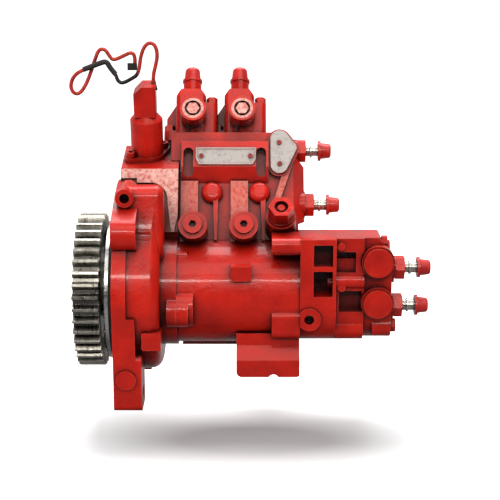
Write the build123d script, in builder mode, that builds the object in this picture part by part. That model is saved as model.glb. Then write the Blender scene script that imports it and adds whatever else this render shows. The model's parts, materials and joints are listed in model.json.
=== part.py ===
from build123d import *
import os
from math import atan, cos, pi, radians, sin, sqrt, tan

os.makedirs("parts", exist_ok=True)

# Diesel injection pump: two roller tappets on one camshaft lift two plungers, a toothed gear drives
# the shaft at its nose, and a gear-type fuel pump is stacked on its tail.
#
# Frame: millimetres, +Z up. X runs along the shaft from the drive gear to the fuel pump. The origin
# is where the shaft axis crosses the flange face that bolts to the engine. The pump's front is -Y.
# The plunger bank leans back, so much is placed on the bank's own lines:
#   a = height along the plungers from the shaft axis, b = distance in front of the plungers.
# The actuator stands on a deck that tips forward: c = height of a plane square to it, s = up the deck.

# ---------------------------------------------------------------- driving dimensions
BANK_LEAN = radians(30)
DECK_LEAN = radians(12)

# fits
RUN = 0.05            # radial running clearance of shafts, tappets and plungers
COIL_GAP = 0.3        # what a spring gives up in length for its slanted ends
CLEAR = 0.3           # space between faces that pass each other
JOINT_GAP = 1.0       # open seam between castings that don't seat

# lengths along the shaft
FRONT_LEN = 66.0
BARREL_LEN = 132.0
REAR_LEN = 38.0
PUMP_BODY_LEN = 30.0
PUMP_COVER_LEN = 30.0

# drive gear
GEAR_MODULE = 4.0
GEAR_TEETH = 40
GEAR_W = 28.0
GEAR_GAP = 14.0       # flange face to the back of the gear
GEAR_RIM_T = 9.0
GEAR_HUB_R = 30.0
GEAR_HUB_LEN = 20.0
GEAR_WEB_T = 10.0
GEAR_HOLE_R = 8.0
GEAR_HOLES = 6
PRESSURE_ANGLE = radians(20)
FLANK_STEPS = 4

# camshaft
TAPER_SMALL_R = 14.0
TAPER_LARGE_R = 17.5
THREAD_R = 9.0
THREAD_LEN = 12.0
SEAL_R = 19.0
SHAFT_R = 17.0
COLLAR_R = 24.0
COLLAR_T = 4.0
REAR_JOURNAL_R = 14.0
TAIL_R = 9.0
CAM_BASE_R = 20.0
CAM_LIFT = 10.0
CAM_W = 18.0
CAM_LOBES = 3
CAM_POINTS = 24
KEY_W = 5.0
KEY_LEN = 12.0
KEY_TOP = 19.0
KEY_BOTTOM = 12.0
NUT_AF = 27.0
NUT_FLANGE_R = 20.0
NUT_FLANGE_T = 3.0

# bearings and seals
PILOT_R = 76.0
PILOT_LEN = 9.5
CAP_SPIGOT_R = 41.0
CAP_SPIGOT_LEN = 14.0
BEARING_R = 36.0
BEARING_W = 22.0
RACE_T = 5.0
BEARING_ROLLERS = 12
BUSH_R = 18.0
BUSH_LEN = 22.0
SEAL_OUT_R = 32.0
SEAL_W = 8.0
O_RING_R = 1.55       # half its section
O_RING_GROOVE_W = 3.6
O_RING_GROOVE_D = 3.2

# front housing
FLANGE_R = 91.0
FLANGE_T = 15.0
DRUM_R = 87.0
DRUM_LEN = 49.0
DRUM_RISE = 32.0      # how far the drum's section is drawn out along the bank's lean
DRUM_ROUND = 12.0
NECK_R = 61.0
TOWER_X = 3.0
TOWER_FRONT_B = 50.0
TOWER_FOOT_A = 52.0
TOWER_BACK_Z = 25.0
FACE_T = 4.0          # height of the flat L-shaped facing on the tower's front
DECK_C = 125.0
DECK_BACK_S = 115.0
FLANGE_BOLT_Y = 66.0
FLANGE_BOLT_TOP_Z = 78.0
FLANGE_BOLT_LOW_Z = -95.0
FLANGE_HOLE_R = 6.5
FLANGE_HOLE_LEN = 24.0
TOP_LUG_R = 17.0
LOW_LUG_LEN = 30.0
LOW_LUG_Y = (44.0, 87.0)
LOW_LUG_Z = (-112.0, -50.0)
LUG_WEB = ((-87.0, -70.0), (-87.0, -48.0), (-90.5, -8.0), (-60.0, -8.0), (-60.0, -70.0))   # y, z
LUG_WEB_X = 24.0
LUG_PAD_R = 10.8
LUG_PAD_X = 13.3
LUG_PAD_Z = -75.8
LUG_PAD_T = 2.5
BRACKET_HOLE_R = 5.25
BRACKET_BOSS_R = 9.8
FRONT_BRACKET = (13.0, 113.0)    # x, z
FRONT_BRACKET_Y = -54.0
FRONT_BRACKET_DEPTH = 20.0
ARM_X = (15.0, 53.0)
ARM_TOP = (-34.0, 110.0, 14.0)   # y, z, radius
ARM_FOOT = (-36.0, 62.0, 20.0)
LUG_TOP = (-20.0, 99.0, 14.0)
ARM_ROUND = 8.0
SPOT_FACE_R = 11.0
SPOT_FACE_LEN = 14.0
PAD_X = (31.0, 51.0)
PAD_Z = (-43.0, -24.0)
PAD_Y = -88.0
EAR_R = 17.0
EAR_YZ = (-53.0, -10.0)
EAR_X = (56.0, 79.0)
SEAM_EAR_R = 21.0
SEAM_EAR_YZ = (-46.0, -7.0)
SEAM_EAR_END_X = 84.0

# pump housing
BARREL_R = 58.0
CHAMBER_R = 34.0
LINE_X = 78.0
LINE_PITCH = 55.0
BANK_X = 69.0
BANK_RIGHT_X = 205.0
BANK_CUT_X = 192.5
BANK_FRONT_B = 34.0
BANK_BACK_B = -36.0
BANK_TOP_A = 172.0
BANK_STEP_X = (180.0, 197.0)    # the right end steps down from the first to the second
BANK_STEP_DROP = (11.0, 28.5, 36.0)
BANK_TAIL_A = (62.0, 55.0)
BANK_FOOT_A = 30.0
WING_X = 57.0
NOSE_X = 60.0
NOSE_D = 20.0
NOSE_A = (25.0, 130.0)
BEAM_X = (69.0, 165.0)
BEAM_B = 45.0
BEAM_TOP_A = BANK_TOP_A - 14.5
BEAM_LOW_A = BANK_TOP_A - 44.4
BEAM_FOOT_A = BANK_TOP_A - 60.5
SCALLOP_XS = (76.5, 157.0)
SCALLOP_W = 11.0
SCALLOP_A = (BANK_TOP_A - 54.0, BANK_TOP_A - 22.0)
SCALLOP_D = 10.0
COLUMN_W = 19.0
COLUMN_B = 39.0
COLUMN_A = (42.0, 113.0)
KNOB_XS = (103.0, 155.0)
KNOB_A = 99.5
KNOB_R = 12.0
KNOB_B = 44.0
RIB_B = 41.0
PLUG_OFFSET = 5.0
PLUG_A = 55.0
PLUG_BOSS_R = 15.5
PLUG_BOSS_B = 62.0
VALVE_SEAT = (178.2, 56.0, 66.0)    # x, b, a
VALVE_BOSS_R = 16.5
VALVE_RISE = radians(48)
VALVE_AF = 24.0
VALVE_HEX_LEN = 16.0
SEAT_PAD_X = (124.0, 146.0)
SEAT_PAD_Z = (24.0, 40.0)
SEAT_PAD_Y = -57.0
OIL_HOLE = (121.0, 52.0)
OIL_HOLE_R = 2.2
FOOT_X = (130.0, 200.0)
FOOT_Y = 62.0
FOOT_Z = -81.5
FOOT_FACE_Z = -62.5
REAR_EAR_X = 168.0
RAIL_Y = 12.0
RAIL_Z = -60.5
STRUT = ((188.0, 148.0), (196.5, 146.0), (178.0, 91.0), (172.0, 93.0))    # x, a of the rib under the cover
STRUT_B = 39.0
PORT_RS = (13.0, 15.0)

# rear housing and gear pump
STACK_FRONT_Y = -60.0
STACK_BACK_Y = 50.0
STACK_TOP_Z = 70.0
STACK_RIDGE = (4.0, 66.5)        # y, z where the top starts to fall away
STACK_SHOULDER_Z = 46.0
STACK_LOW_Z = -48.5
STACK_ROUND = 6.0
STACK_SWEEP = 36.0
WINDOW_X = (212.0, 232.5)
WINDOW_1_Z = (40.8, 64.0)
WINDOW_2_Z = (7.5, 35.5)
WINDOW_1_D = 21.0
WINDOW_2_D = 36.0
REAR_BRACKET = (207.8, -17.0)
REAR_BRACKET_BOSS_R = 12.5
REAR_BRACKET_DEPTH = 12.0
BODY_FRONT_Y = -54.0
BODY_TOP_CUT = (14.0, 47.0, 55.5)      # pockets in the pump body: depth, low z, high z
BODY_MID_CUT = (6.0, 33.0, 48.0)
BODY_LOW_CUT = (14.0, -10.5, 12.8)
BODY_CUT_X = (21.0, 3.5, 28.0)         # lengths from the front face: upper end, lower start and end
STACK_BOLTS = ((-29.0, 60.5), (36.0, 40.0), (-38.0, -30.0), (36.0, -30.0))
STACK_BOLT_R = 4.0
TUBE_LOW_R = 15.0
END_EAR_R = 12.0
MID_RIB = (-50.0, 23.0)
MID_RIB_R = 8.5
PUMP_MODULE = 3.4
PUMP_TEETH = 12
PUMP_GEAR_W = 22.0
PUMP_CENTRES = 41.1
CAP_DISC_R = 15.5
CAP_DISC_T = 4.0
TURRET_R = 17.5
LOBE_R = 11.0
CAP_UPPER = (280.5, 45.0)
CAP_LOWER = (280.5, 0.0)
CAP_FACE_Y = -62.5
REG_BORE_R = 6.5
REG_END_Y = -18.0
PISTON_LEN = 12.0

# tappets, plungers and delivery heads
TAPPET_R = 14.5
TAPPET_LEN = 39.0
TAPPET_CUP_R = 11.4
TAPPET_WEB_A = 57.0
TAPPET_FLOOR_A = 62.0
ROLLER_R = 12.0
ROLLER_W = 14.0
ROLLER_PIN_R = 5.0
SHOULDER_A = 118.0
SPRING_WIRE_R = 1.5
SPRING_R = 9.3
SPRING_TURNS = 6
PLUNGER_R = 5.0
PLUNGER_TOP_A = BANK_TOP_A - 12.0
PLUNGER_FOOT_R = 7.0
PLUNGER_FOOT_T = 3.5
BARREL_SLEEVE_R = 11.5
BARREL_FLANGE_R = 16.5
BARREL_FLANGE_T = 6.0
HEAD_LEFT = 17.5
HEAD_RIGHT = 16.5
HEAD_B = (-20.0, 20.0)
HEAD_H = 59.0
HEAD_SLOPE = (6.0, 8.0)       # how far its shoulders slope in and down
STUB_R = 10.3
STUB_LEN = 15.5
NIPPLE_R = 6.0
NIPPLE_LEN = 27.0
OUTLET_R = 2.5
CHECK_OFFSET = 3.0
CHECK_RISE = 23.0     # above the bank's top
CHECK_R = 14.5
CHECK_B = 50.0
CHECK_SEAT_B = 22.0
CHECK_PLUG_R = 12.0
CHECK_RECESS_R = 9.0
CHECK_RECESS_D = 5.0
CHECK_HEX_AF = 12.5
POPPET_B = 10.0
POPPET_T = 3.0
POPPET_STEM_R = 2.5
VALVE_ROOM_R = 8.0
# x from the plunger, b, seat's rise, length
HEAD_BOLTS = ((23.5, 18.0, 40.0, 50.0), (-25.0, 3.0, 12.0, 34.0))
HEAD_BOSS_R = 6.5
HEAD_BOLT_R = 3.5
HEAD_BOLT_HEX_AF = 11.0
GUSSET_B = (-10.0, -3.5)
GUSSET_RISE = (51.0, 31.0, 6.0)
GUSSET_REACH = 29.0

# caps and fittings
CAP_LIP_R = 11.3
CAP_LIP_T = 3.0
CAP_LEN = 17.5
PORTS = ((197.5, 12.0, BANK_TOP_A - 14.0), (206.0, 10.0, 94.5))    # x, b, a on the bank's right end
COVER_PORTS = ((302.0, -20.0, 30.0), (300.5, -20.0, -12.5))   # x, y, z on the pump cover
COVER_PORT_R = 12.5
FITTING_AF = 23.0
FITTING_HEX_LEN = 10.0
STEM_R = 5.9
STEM_LEN = 27.0
BEAD_R = 7.6
BEAD_W = 2.0
BEAD_AT = 5.0
CAP_AT = 14.0
STEM_BORE_R = 3.9
FITTING_CAP_LEN = 14.5

# plates
NAMEPLATE_X = (84.7, 151.3)
NAMEPLATE_A = (BANK_TOP_A - 42.5, BANK_TOP_A - 22.5)
NAMEPLATE_T = 1.8
NAMEPLATE_RIM = 1.8
NAMEPLATE_TRAY_D = 0.8
NAMEPLATE_CUT = 3.5
COVER_T = 4.0
COVER_B = 40.0
COVER_TOP = (177.5, BANK_TOP_A - 11.0, 10.0)
COVER_LOW = (177.0, BANK_TOP_A - 42.0, 9.5)
COVER_SIDE = (189.5, BANK_TOP_A - 21.5, 7.0)
COVER_SCREWS = ((177.0, BANK_TOP_A - 16.0), (177.5, BANK_TOP_A - 41.0))
PLATE_SCREW_R = 2.6
PLATE_SCREW_T = 1.6

# actuator
ACT_XS = (29.7, 83.0)         # x, s of its axis on the deck
ACT_R = 18.0
ACT_H = 44.0
ACT_FLANGE_R = 20.0
ACT_FLANGE_T = 5.0
ACT_EAR = (17.5, 15.0)
ACT_EAR_R = 7.0
ACT_NECK_H = 6.0
ACT_NECK_R = 13.0
CONN_X = (17.0, 41.5)
CONN_S = (70.0, 95.0)
CONN_H = 35.0
SPOOL_R = 8.0
SPOOL_LEN = 26.0
SPOOL_TRAVEL = 4.0
WIRE_R = 2.1
WIRE_TRIM = 0.45      # share of the shorter run that a bend may take
WIRE_POINTS = (
    (38.5, 40.0, 218.0),
    (38.5, 40.0, 231.0),
    (41.5, 39.5, 242.0),
    (44.0, 39.0, 254.0),
    (41.5, 39.0, 264.5),
    (35.5, 38.5, 267.5),
    (29.5, 38.0, 263.0),
    (25.5, 37.5, 252.0),
    (24.0, 37.0, 240.0),
    (21.5, 36.5, 232.0),
    (14.0, 36.0, 227.5),
    (5.0, 36.0, 223.0),
    (0.0, 36.0, 226.0),
    (-2.0, 36.0, 233.0),
    (-8.0, 36.0, 240.0),
    (-11.5, 36.0, 247.5),
    (-20.0, 35.5, 244.8),
    (-37.0, 35.0, 238.3),
    (-47.5, 35.0, 232.0),
    (-52.0, 36.0, 221.0),
    (-49.5, 37.5, 212.5),
    (-43.0, 39.0, 211.0),
    (-36.5, 40.5, 219.0),
    (-31.0, 41.0, 231.0),
    (-25.0, 41.5, 248.0),
    (-20.5, 41.5, 259.5),
    (-13.5, 41.5, 260.0),
    (-9.0, 41.5, 252.5),
    (-5.0, 41.5, 247.5),
    (5.5, 41.5, 252.0),
    (15.5, 42.0, 257.0),
    (19.5, 42.5, 251.0),
    (18.5, 42.5, 240.0),
)
PLUG_X = (10.5, 21.0)
PLUG_Y = (39.5, 45.5)
PLUG_Z = (237.0, 244.5)

# ---------------------------------------------------------------- worked out from them
REAR_X = FRONT_LEN + BARREL_LEN
PUMP_X = REAR_X + REAR_LEN
COVER_X = PUMP_X + PUMP_BODY_LEN
END_X = COVER_X + PUMP_COVER_LEN
LINES = (LINE_X, LINE_X + LINE_PITCH)
GEAR_BACK_X = -GEAR_GAP
GEAR_FRONT_X = GEAR_BACK_X - GEAR_W
HUB_FRONT_X = GEAR_BACK_X - GEAR_HUB_LEN
TAPER_END_X = GEAR_BACK_X + 2
ROLLER_A = CAM_BASE_R + CAM_LIFT + ROLLER_R + CLEAR
TAPPET_A = ROLLER_A - 1.5
HEAD_TOP_A = BANK_TOP_A + HEAD_H
STUB_TOP_A = HEAD_TOP_A + STUB_LEN
NIPPLE_TOP_A = HEAD_TOP_A + NIPPLE_LEN
CHECK_A = BANK_TOP_A + CHECK_RISE
BUSH_X = REAR_X - 41
SPOOL_FLOOR_C = DECK_C - 34

PLUNGER_DIR = Vector(0, sin(BANK_LEAN), cos(BANK_LEAN))
BANK_NORMAL = Vector(0, -cos(BANK_LEAN), sin(BANK_LEAN))
DECK_DIR = Vector(0, -sin(DECK_LEAN), cos(DECK_LEAN))
DECK_RUN = Vector(0, cos(DECK_LEAN), sin(DECK_LEAN))
VALVE_DIR = Vector(0, -cos(VALVE_RISE), sin(VALVE_RISE))


# ---------------------------------------------------------------- places
def up(a):
    """Square to the plungers at height a. Sketch axes: x, distance behind the plungers."""
    return Plane(origin=PLUNGER_DIR * a, x_dir=(1, 0, 0), z_dir=PLUNGER_DIR)


def face(b):
    """Parallel to the bank's front, b ahead of the plungers. Sketch axes: x, a."""
    return Plane(origin=BANK_NORMAL * b, x_dir=(1, 0, 0), z_dir=BANK_NORMAL)


def lean(x):
    """Across the shaft at x, turned with the bank. Sketch axes: distance behind the plungers, a."""
    return Plane(origin=(x, 0, 0), x_dir=-BANK_NORMAL, z_dir=(1, 0, 0))


def side(x):
    """Across the shaft at x. Sketch axes: y, z."""
    return Plane.YZ.offset(x)


def front(y):
    """Upright plane that looks towards -Y. Sketch axes: x, z."""
    return Plane(origin=(0, y, 0), x_dir=(1, 0, 0), z_dir=(0, -1, 0))


def deck(c):
    """Parallel to the actuator's deck. Sketch axes: x, s."""
    return Plane(origin=DECK_DIR * c, x_dir=(1, 0, 0), z_dir=DECK_DIR)


def lathe(origin, axis):
    """Plane for turned profiles of (radius, distance along the axis)."""
    axis = Vector(*axis).normalized()
    across = Vector(0, 0, 1) if abs(axis.X) > 0.9 else Vector(1, 0, 0)
    return Plane(origin=origin, x_dir=across, z_dir=across.cross(axis))


def bank_yz(b, a):
    """The y and z of a place on the bank's lines."""
    spot = PLUNGER_DIR * a + BANK_NORMAL * b
    return (spot.Y, spot.Z)


def deck_yz(c, s):
    """The y and z of a place on the deck's lines."""
    spot = DECK_DIR * c + DECK_RUN * s
    return (spot.Y, spot.Z)


def bank_at(x, b, a):
    """A point on the bank's lines."""
    return (x, *bank_yz(b, a))


# ---------------------------------------------------------------- forms used over and over
def boss(plane, place, radius, length, mode=Mode.ADD):
    """Round boss on a plane or, with Mode.SUBTRACT, a bore."""
    with BuildSketch(plane) as outline:
        with Locations(place):
            Circle(radius)
    extrude(outline.sketch, amount=length, mode=mode)


def block(plane, across, along, length, mode=Mode.ADD, corner=0.0):
    """Rectangular block between two pairs of coordinates on a plane."""
    width = across[1] - across[0]
    height = along[1] - along[0]
    with BuildSketch(plane) as outline:
        with Locations(((across[0] + across[1]) / 2, (along[0] + along[1]) / 2)):
            if corner:
                RectangleRounded(width, height, corner)
            else:
                Rectangle(width, height)
    extrude(outline.sketch, amount=length, mode=mode)


def prism(plane, points, length, mode=Mode.ADD, corner=0.0):
    """Straight prism on a closed outline, with its corners rounded where asked."""
    with BuildSketch(plane) as outline:
        with BuildLine():
            Polyline(*points, close=True)
        make_face()
        if corner:
            fillet(outline.vertices(), corner)
    extrude(outline.sketch, amount=length, mode=mode)


def turn(plane, points, mode=Mode.ADD):
    """Solid of revolution about the plane's own Y axis."""
    with BuildSketch(plane) as outline:
        with BuildLine():
            Polyline(*points, close=True)
        make_face()
    revolve(outline.sketch, axis=Axis(plane.origin, plane.y_dir), mode=mode)


def hexagon(plane, place, across_flats, length, mode=Mode.ADD):
    """Hexagonal prism."""
    with BuildSketch(plane) as outline:
        with Locations(place):
            RegularPolygon(across_flats / 2, 6, major_radius=False)
    extrude(outline.sketch, amount=length, mode=mode)


def coil(foot, axis, radius, wire_r, turns, length):
    """Compression spring of round wire, its end coils just inside the given length."""
    pitch = (length - 2 * wire_r - COIL_GAP) / turns
    with BuildLine() as path:
        Helix(pitch, pitch * turns, radius, center=foot + axis * (wire_r + COIL_GAP / 2), direction=axis)
    with BuildSketch(Plane(origin=path.line @ 0, z_dir=path.line % 0)) as wire:
        Circle(wire_r)
    sweep(wire.sketch, path=path.line, is_frenet=True)


def involute_turn(base_r, r):
    """Angle that the involute of a base circle has turned through at radius r."""
    reach = sqrt(max((r / base_r) ** 2 - 1, 0))
    return reach - atan(reach)


def gear_outline(module, teeth, addendum, dedendum, backlash):
    """Closed outline of an involute spur gear, for the active BuildLine."""
    pitch_r = module * teeth / 2
    base_r = pitch_r * cos(PRESSURE_ANGLE)
    tip_r = pitch_r + addendum
    root_r = pitch_r - dedendum
    flank_r = max(base_r, root_r)
    at_pitch = pi / (2 * teeth) - backlash / (2 * pitch_r) + involute_turn(base_r, pitch_r)
    radii = [flank_r + (tip_r - flank_r) * k / FLANK_STEPS for k in range(FLANK_STEPS + 1)]

    def spot(r, angle):
        return (r * cos(angle), r * sin(angle))

    def half(r):
        return at_pitch - involute_turn(base_r, r)

    for i in range(teeth):
        mid = 2 * pi * i / teeth
        rise = [spot(r, mid - half(r)) for r in radii]
        fall = [spot(r, mid + half(r)) for r in reversed(radii)]
        if flank_r > root_r:
            Line(spot(root_r, mid - half(flank_r)), rise[0])
            Line(fall[-1], spot(root_r, mid + half(flank_r)))
        Spline(*rise)
        ThreePointArc(rise[-1], spot(tip_r, mid), fall[0])
        Spline(*fall)
        gap = mid + pi / teeth
        next_mid = 2 * pi * ((i + 1) % teeth) / teeth
        ThreePointArc(
            spot(root_r, mid + half(flank_r)), spot(root_r, gap), spot(root_r, next_mid - half(flank_r))
        )


def save(piece, name):
    """Label a finished piece and write it under its own name."""
    piece.part.label = name
    export_step(piece.part, f"parts/{name}.step")


# ---------------------------------------------------------------- rotating group
SHAFT_LINE = lathe((0, 0, 0), (1, 0, 0))
NUT_END_X = HUB_FRONT_X - THREAD_LEN
BEARING_X = CAP_SPIGOT_LEN
BEARING_END_X = BEARING_X + BEARING_W

with BuildPart() as camshaft:
    turn(
        SHAFT_LINE,
        [
            (0, NUT_END_X),
            (THREAD_R - 1, NUT_END_X),
            (THREAD_R, NUT_END_X + 1),
            (THREAD_R, HUB_FRONT_X),
            (TAPER_SMALL_R, HUB_FRONT_X),
            (TAPER_LARGE_R, TAPER_END_X),
            (SEAL_R, TAPER_END_X),
            (SEAL_R, BEARING_END_X),
            (COLLAR_R, BEARING_END_X),
            (COLLAR_R, BEARING_END_X + COLLAR_T),
            (SHAFT_R, BEARING_END_X + COLLAR_T),
            (SHAFT_R, BUSH_X - CLEAR),
            (REAR_JOURNAL_R, BUSH_X - CLEAR),
            (REAR_JOURNAL_R, BUSH_X + BUSH_LEN),
            (TAIL_R, BUSH_X + BUSH_LEN),
            (TAIL_R, COVER_X + 9),
            (0, COVER_X + 9),
        ],
    )
    for number, x in enumerate(LINES):
        phase = number * pi / CAM_LOBES
        with BuildSketch(side(x - CAM_W / 2)):
            with BuildLine():
                rim = []
                for k in range(CAM_POINTS):
                    angle = 2 * pi * k / CAM_POINTS
                    lift = CAM_LIFT * (1 - cos(CAM_LOBES * (angle - pi / 2 + BANK_LEAN) + phase)) / 2
                    rim.append(((CAM_BASE_R + lift) * cos(angle), (CAM_BASE_R + lift) * sin(angle)))
                Spline(*rim, periodic=True)
            make_face()
        extrude(amount=CAM_W)
    key_mid_x = (HUB_FRONT_X + GEAR_BACK_X) / 2
    block(
        Plane.XY.offset(KEY_BOTTOM),
        (key_mid_x - KEY_LEN / 2, key_mid_x + KEY_LEN / 2),
        (-KEY_W / 2, KEY_W / 2),
        KEY_TOP,
        Mode.SUBTRACT,
    )
save(camshaft, "camshaft")

with BuildPart() as gear_key:
    block(
        Plane.XY.offset(KEY_BOTTOM),
        (key_mid_x - KEY_LEN / 2, key_mid_x + KEY_LEN / 2),
        (-KEY_W / 2, KEY_W / 2),
        KEY_TOP - KEY_BOTTOM,
    )
save(gear_key, "gear_key")

GEAR_ROOT_R = GEAR_MODULE * (GEAR_TEETH / 2 - 1.25)
GEAR_RIM_R = GEAR_ROOT_R - GEAR_RIM_T
WEB_BACK_X = GEAR_BACK_X - 6
with BuildPart() as drive_gear:
    with BuildSketch(side(GEAR_FRONT_X)):
        with BuildLine():
            gear_outline(GEAR_MODULE, GEAR_TEETH, GEAR_MODULE, 1.25 * GEAR_MODULE, 0.1)
        make_face()
    extrude(amount=GEAR_W)
    boss(side(GEAR_FRONT_X), (0, 0), GEAR_RIM_R, WEB_BACK_X - GEAR_WEB_T - GEAR_FRONT_X, Mode.SUBTRACT)
    boss(side(WEB_BACK_X), (0, 0), GEAR_RIM_R, GEAR_BACK_X - WEB_BACK_X, Mode.SUBTRACT)
    boss(side(HUB_FRONT_X), (0, 0), GEAR_HUB_R, GEAR_HUB_LEN)
    with BuildSketch(side(WEB_BACK_X - GEAR_WEB_T)):
        with PolarLocations((GEAR_HUB_R + GEAR_RIM_R) / 2, GEAR_HOLES):
            Circle(GEAR_HOLE_R)
    extrude(amount=GEAR_WEB_T, mode=Mode.SUBTRACT)
    taper_slope = (TAPER_LARGE_R - TAPER_SMALL_R) / (TAPER_END_X - HUB_FRONT_X)
    turn(
        SHAFT_LINE,
        [
            (0, HUB_FRONT_X),
            (TAPER_SMALL_R, HUB_FRONT_X),
            (TAPER_SMALL_R + taper_slope * GEAR_HUB_LEN, GEAR_BACK_X),
            (0, GEAR_BACK_X),
        ],
        Mode.SUBTRACT,
    )
    block(
        Plane.XY.offset(KEY_BOTTOM),
        (HUB_FRONT_X, GEAR_BACK_X),
        (-KEY_W / 2, KEY_W / 2),
        KEY_TOP - KEY_BOTTOM,
        Mode.SUBTRACT,
    )
save(drive_gear, "drive_gear")

with BuildPart() as gear_nut:
    boss(side(HUB_FRONT_X - NUT_FLANGE_T), (0, 0), NUT_FLANGE_R, NUT_FLANGE_T)
    hexagon(side(NUT_END_X + 1), (0, 0), NUT_AF, THREAD_LEN - 1 - NUT_FLANGE_T)
    boss(side(NUT_END_X), (0, 0), THREAD_R, THREAD_LEN, Mode.SUBTRACT)
save(gear_nut, "gear_nut")

# ---------------------------------------------------------------- front bearing, cap and seals
with BuildPart() as bearing_cap:
    groove_x = -O_RING_GROOVE_W - 1.2
    turn(
        SHAFT_LINE,
        [
            (SEAL_OUT_R, -PILOT_LEN),
            (PILOT_R - 1, -PILOT_LEN),
            (PILOT_R, 1 - PILOT_LEN),
            (PILOT_R, groove_x),
            (PILOT_R - O_RING_GROOVE_D, groove_x),
            (PILOT_R - O_RING_GROOVE_D, groove_x + O_RING_GROOVE_W),
            (PILOT_R, groove_x + O_RING_GROOVE_W),
            (PILOT_R, 0),
            (CAP_SPIGOT_R, 0),
            (CAP_SPIGOT_R, CAP_SPIGOT_LEN),
            (SEAL_R + 3, CAP_SPIGOT_LEN),
            (SEAL_R + 3, 0),
            (SEAL_OUT_R, 0),
        ],
    )
save(bearing_cap, "bearing_cap")

with BuildPart() as pilot_o_ring:
    with BuildSketch(Plane.XZ):
        with Locations((groove_x + O_RING_GROOVE_W / 2, PILOT_R - O_RING_GROOVE_D + O_RING_R + 0.05)):
            Circle(O_RING_R)
    revolve(axis=Axis.X)
save(pilot_o_ring, "pilot_o_ring")

with BuildPart() as shaft_seal:
    turn(
        SHAFT_LINE,
        [
            (SEAL_R + RUN, -SEAL_W / 2 - 1),
            (SEAL_R + 4, -SEAL_W),
            (SEAL_OUT_R, -SEAL_W),
            (SEAL_OUT_R, 0),
            (SEAL_OUT_R - 3, 0),
            (SEAL_OUT_R - 3, -SEAL_W + 2),
            (SEAL_R + 4, -SEAL_W + 2),
            (SEAL_R + 2, -1),
            (SEAL_R + RUN, -1),
        ],
    )
save(shaft_seal, "shaft_seal")

ROLLER_GAP_R = (SEAL_R + RUN + RACE_T + BEARING_R - RACE_T) / 2
BEARING_ROLLER_R = (BEARING_R - 2 * RACE_T - SEAL_R - RUN) / 2
with BuildPart() as front_bearing:
    with BuildSketch(side(BEARING_X)):
        Circle(BEARING_R)
        Circle(BEARING_R - RACE_T, mode=Mode.SUBTRACT)
    extrude(amount=BEARING_W)
    with BuildSketch(side(BEARING_X)):
        Circle(SEAL_R + RUN + RACE_T)
        Circle(SEAL_R + RUN, mode=Mode.SUBTRACT)
    extrude(amount=BEARING_W)
    with BuildSketch(side(BEARING_X + 3)):
        with PolarLocations(ROLLER_GAP_R, BEARING_ROLLERS):
            Circle(BEARING_ROLLER_R)
    extrude(amount=BEARING_W - 6)
save(front_bearing, "front_bearing")

with BuildPart() as rear_bush:
    with BuildSketch(side(BUSH_X)):
        Circle(BUSH_R)
        Circle(REAR_JOURNAL_R + RUN, mode=Mode.SUBTRACT)
    extrude(amount=BUSH_LEN)
save(rear_bush, "rear_bush")

# ---------------------------------------------------------------- front housing
FRONT_SCREWS = (EAR_YZ, (-EAR_YZ[0], EAR_YZ[1]), (-30.0, 46.0), (0.0, -53.0))
FRONT_SCREW_R = 5.0
FRONT_SCREW_HEAD_R = 8.0
FRONT_SCREW_HEAD_X = 20.0
FRONT_SCREW_HEAD_T = 10.0
FRONT_SCREW_END_X = EAR_X[1] - 2
FACE_BACK_S = (DECK_C * sin(BANK_LEAN + DECK_LEAN) - TOWER_FRONT_B + FACE_T) / cos(BANK_LEAN + DECK_LEAN)
FACE_TOP_A = (DECK_C - (TOWER_FRONT_B - FACE_T) * sin(BANK_LEAN + DECK_LEAN)) / cos(BANK_LEAN + DECK_LEAN)
FACE_XS = (TOWER_X, 21.0, 38.0, 49.7, 54.8, 59.3, 62.5)     # the facing's lower edge, left to right
FACE_AS = (112.4, 107.2, 100.9, 86.0, 50.6, 70.0)


def hull(plane, discs, length):
    """Straight extrusion of the hull of some discs, each given as (across, along, radius)."""
    with BuildSketch(plane) as outline:
        for across, along, radius in discs:
            with Locations((across, along)):
                Circle(radius)
        make_hull()
    extrude(outline.sketch, amount=length)


def drum(radius, length):
    """Round housing section drawn out along the bank's lean."""
    with BuildSketch(lean(0)) as outline:
        with Locations((0, DRUM_RISE / 2)):
            SlotCenterToCenter(DRUM_RISE, 2 * radius, rotation=90)
    extrude(outline.sketch, amount=length)


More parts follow.
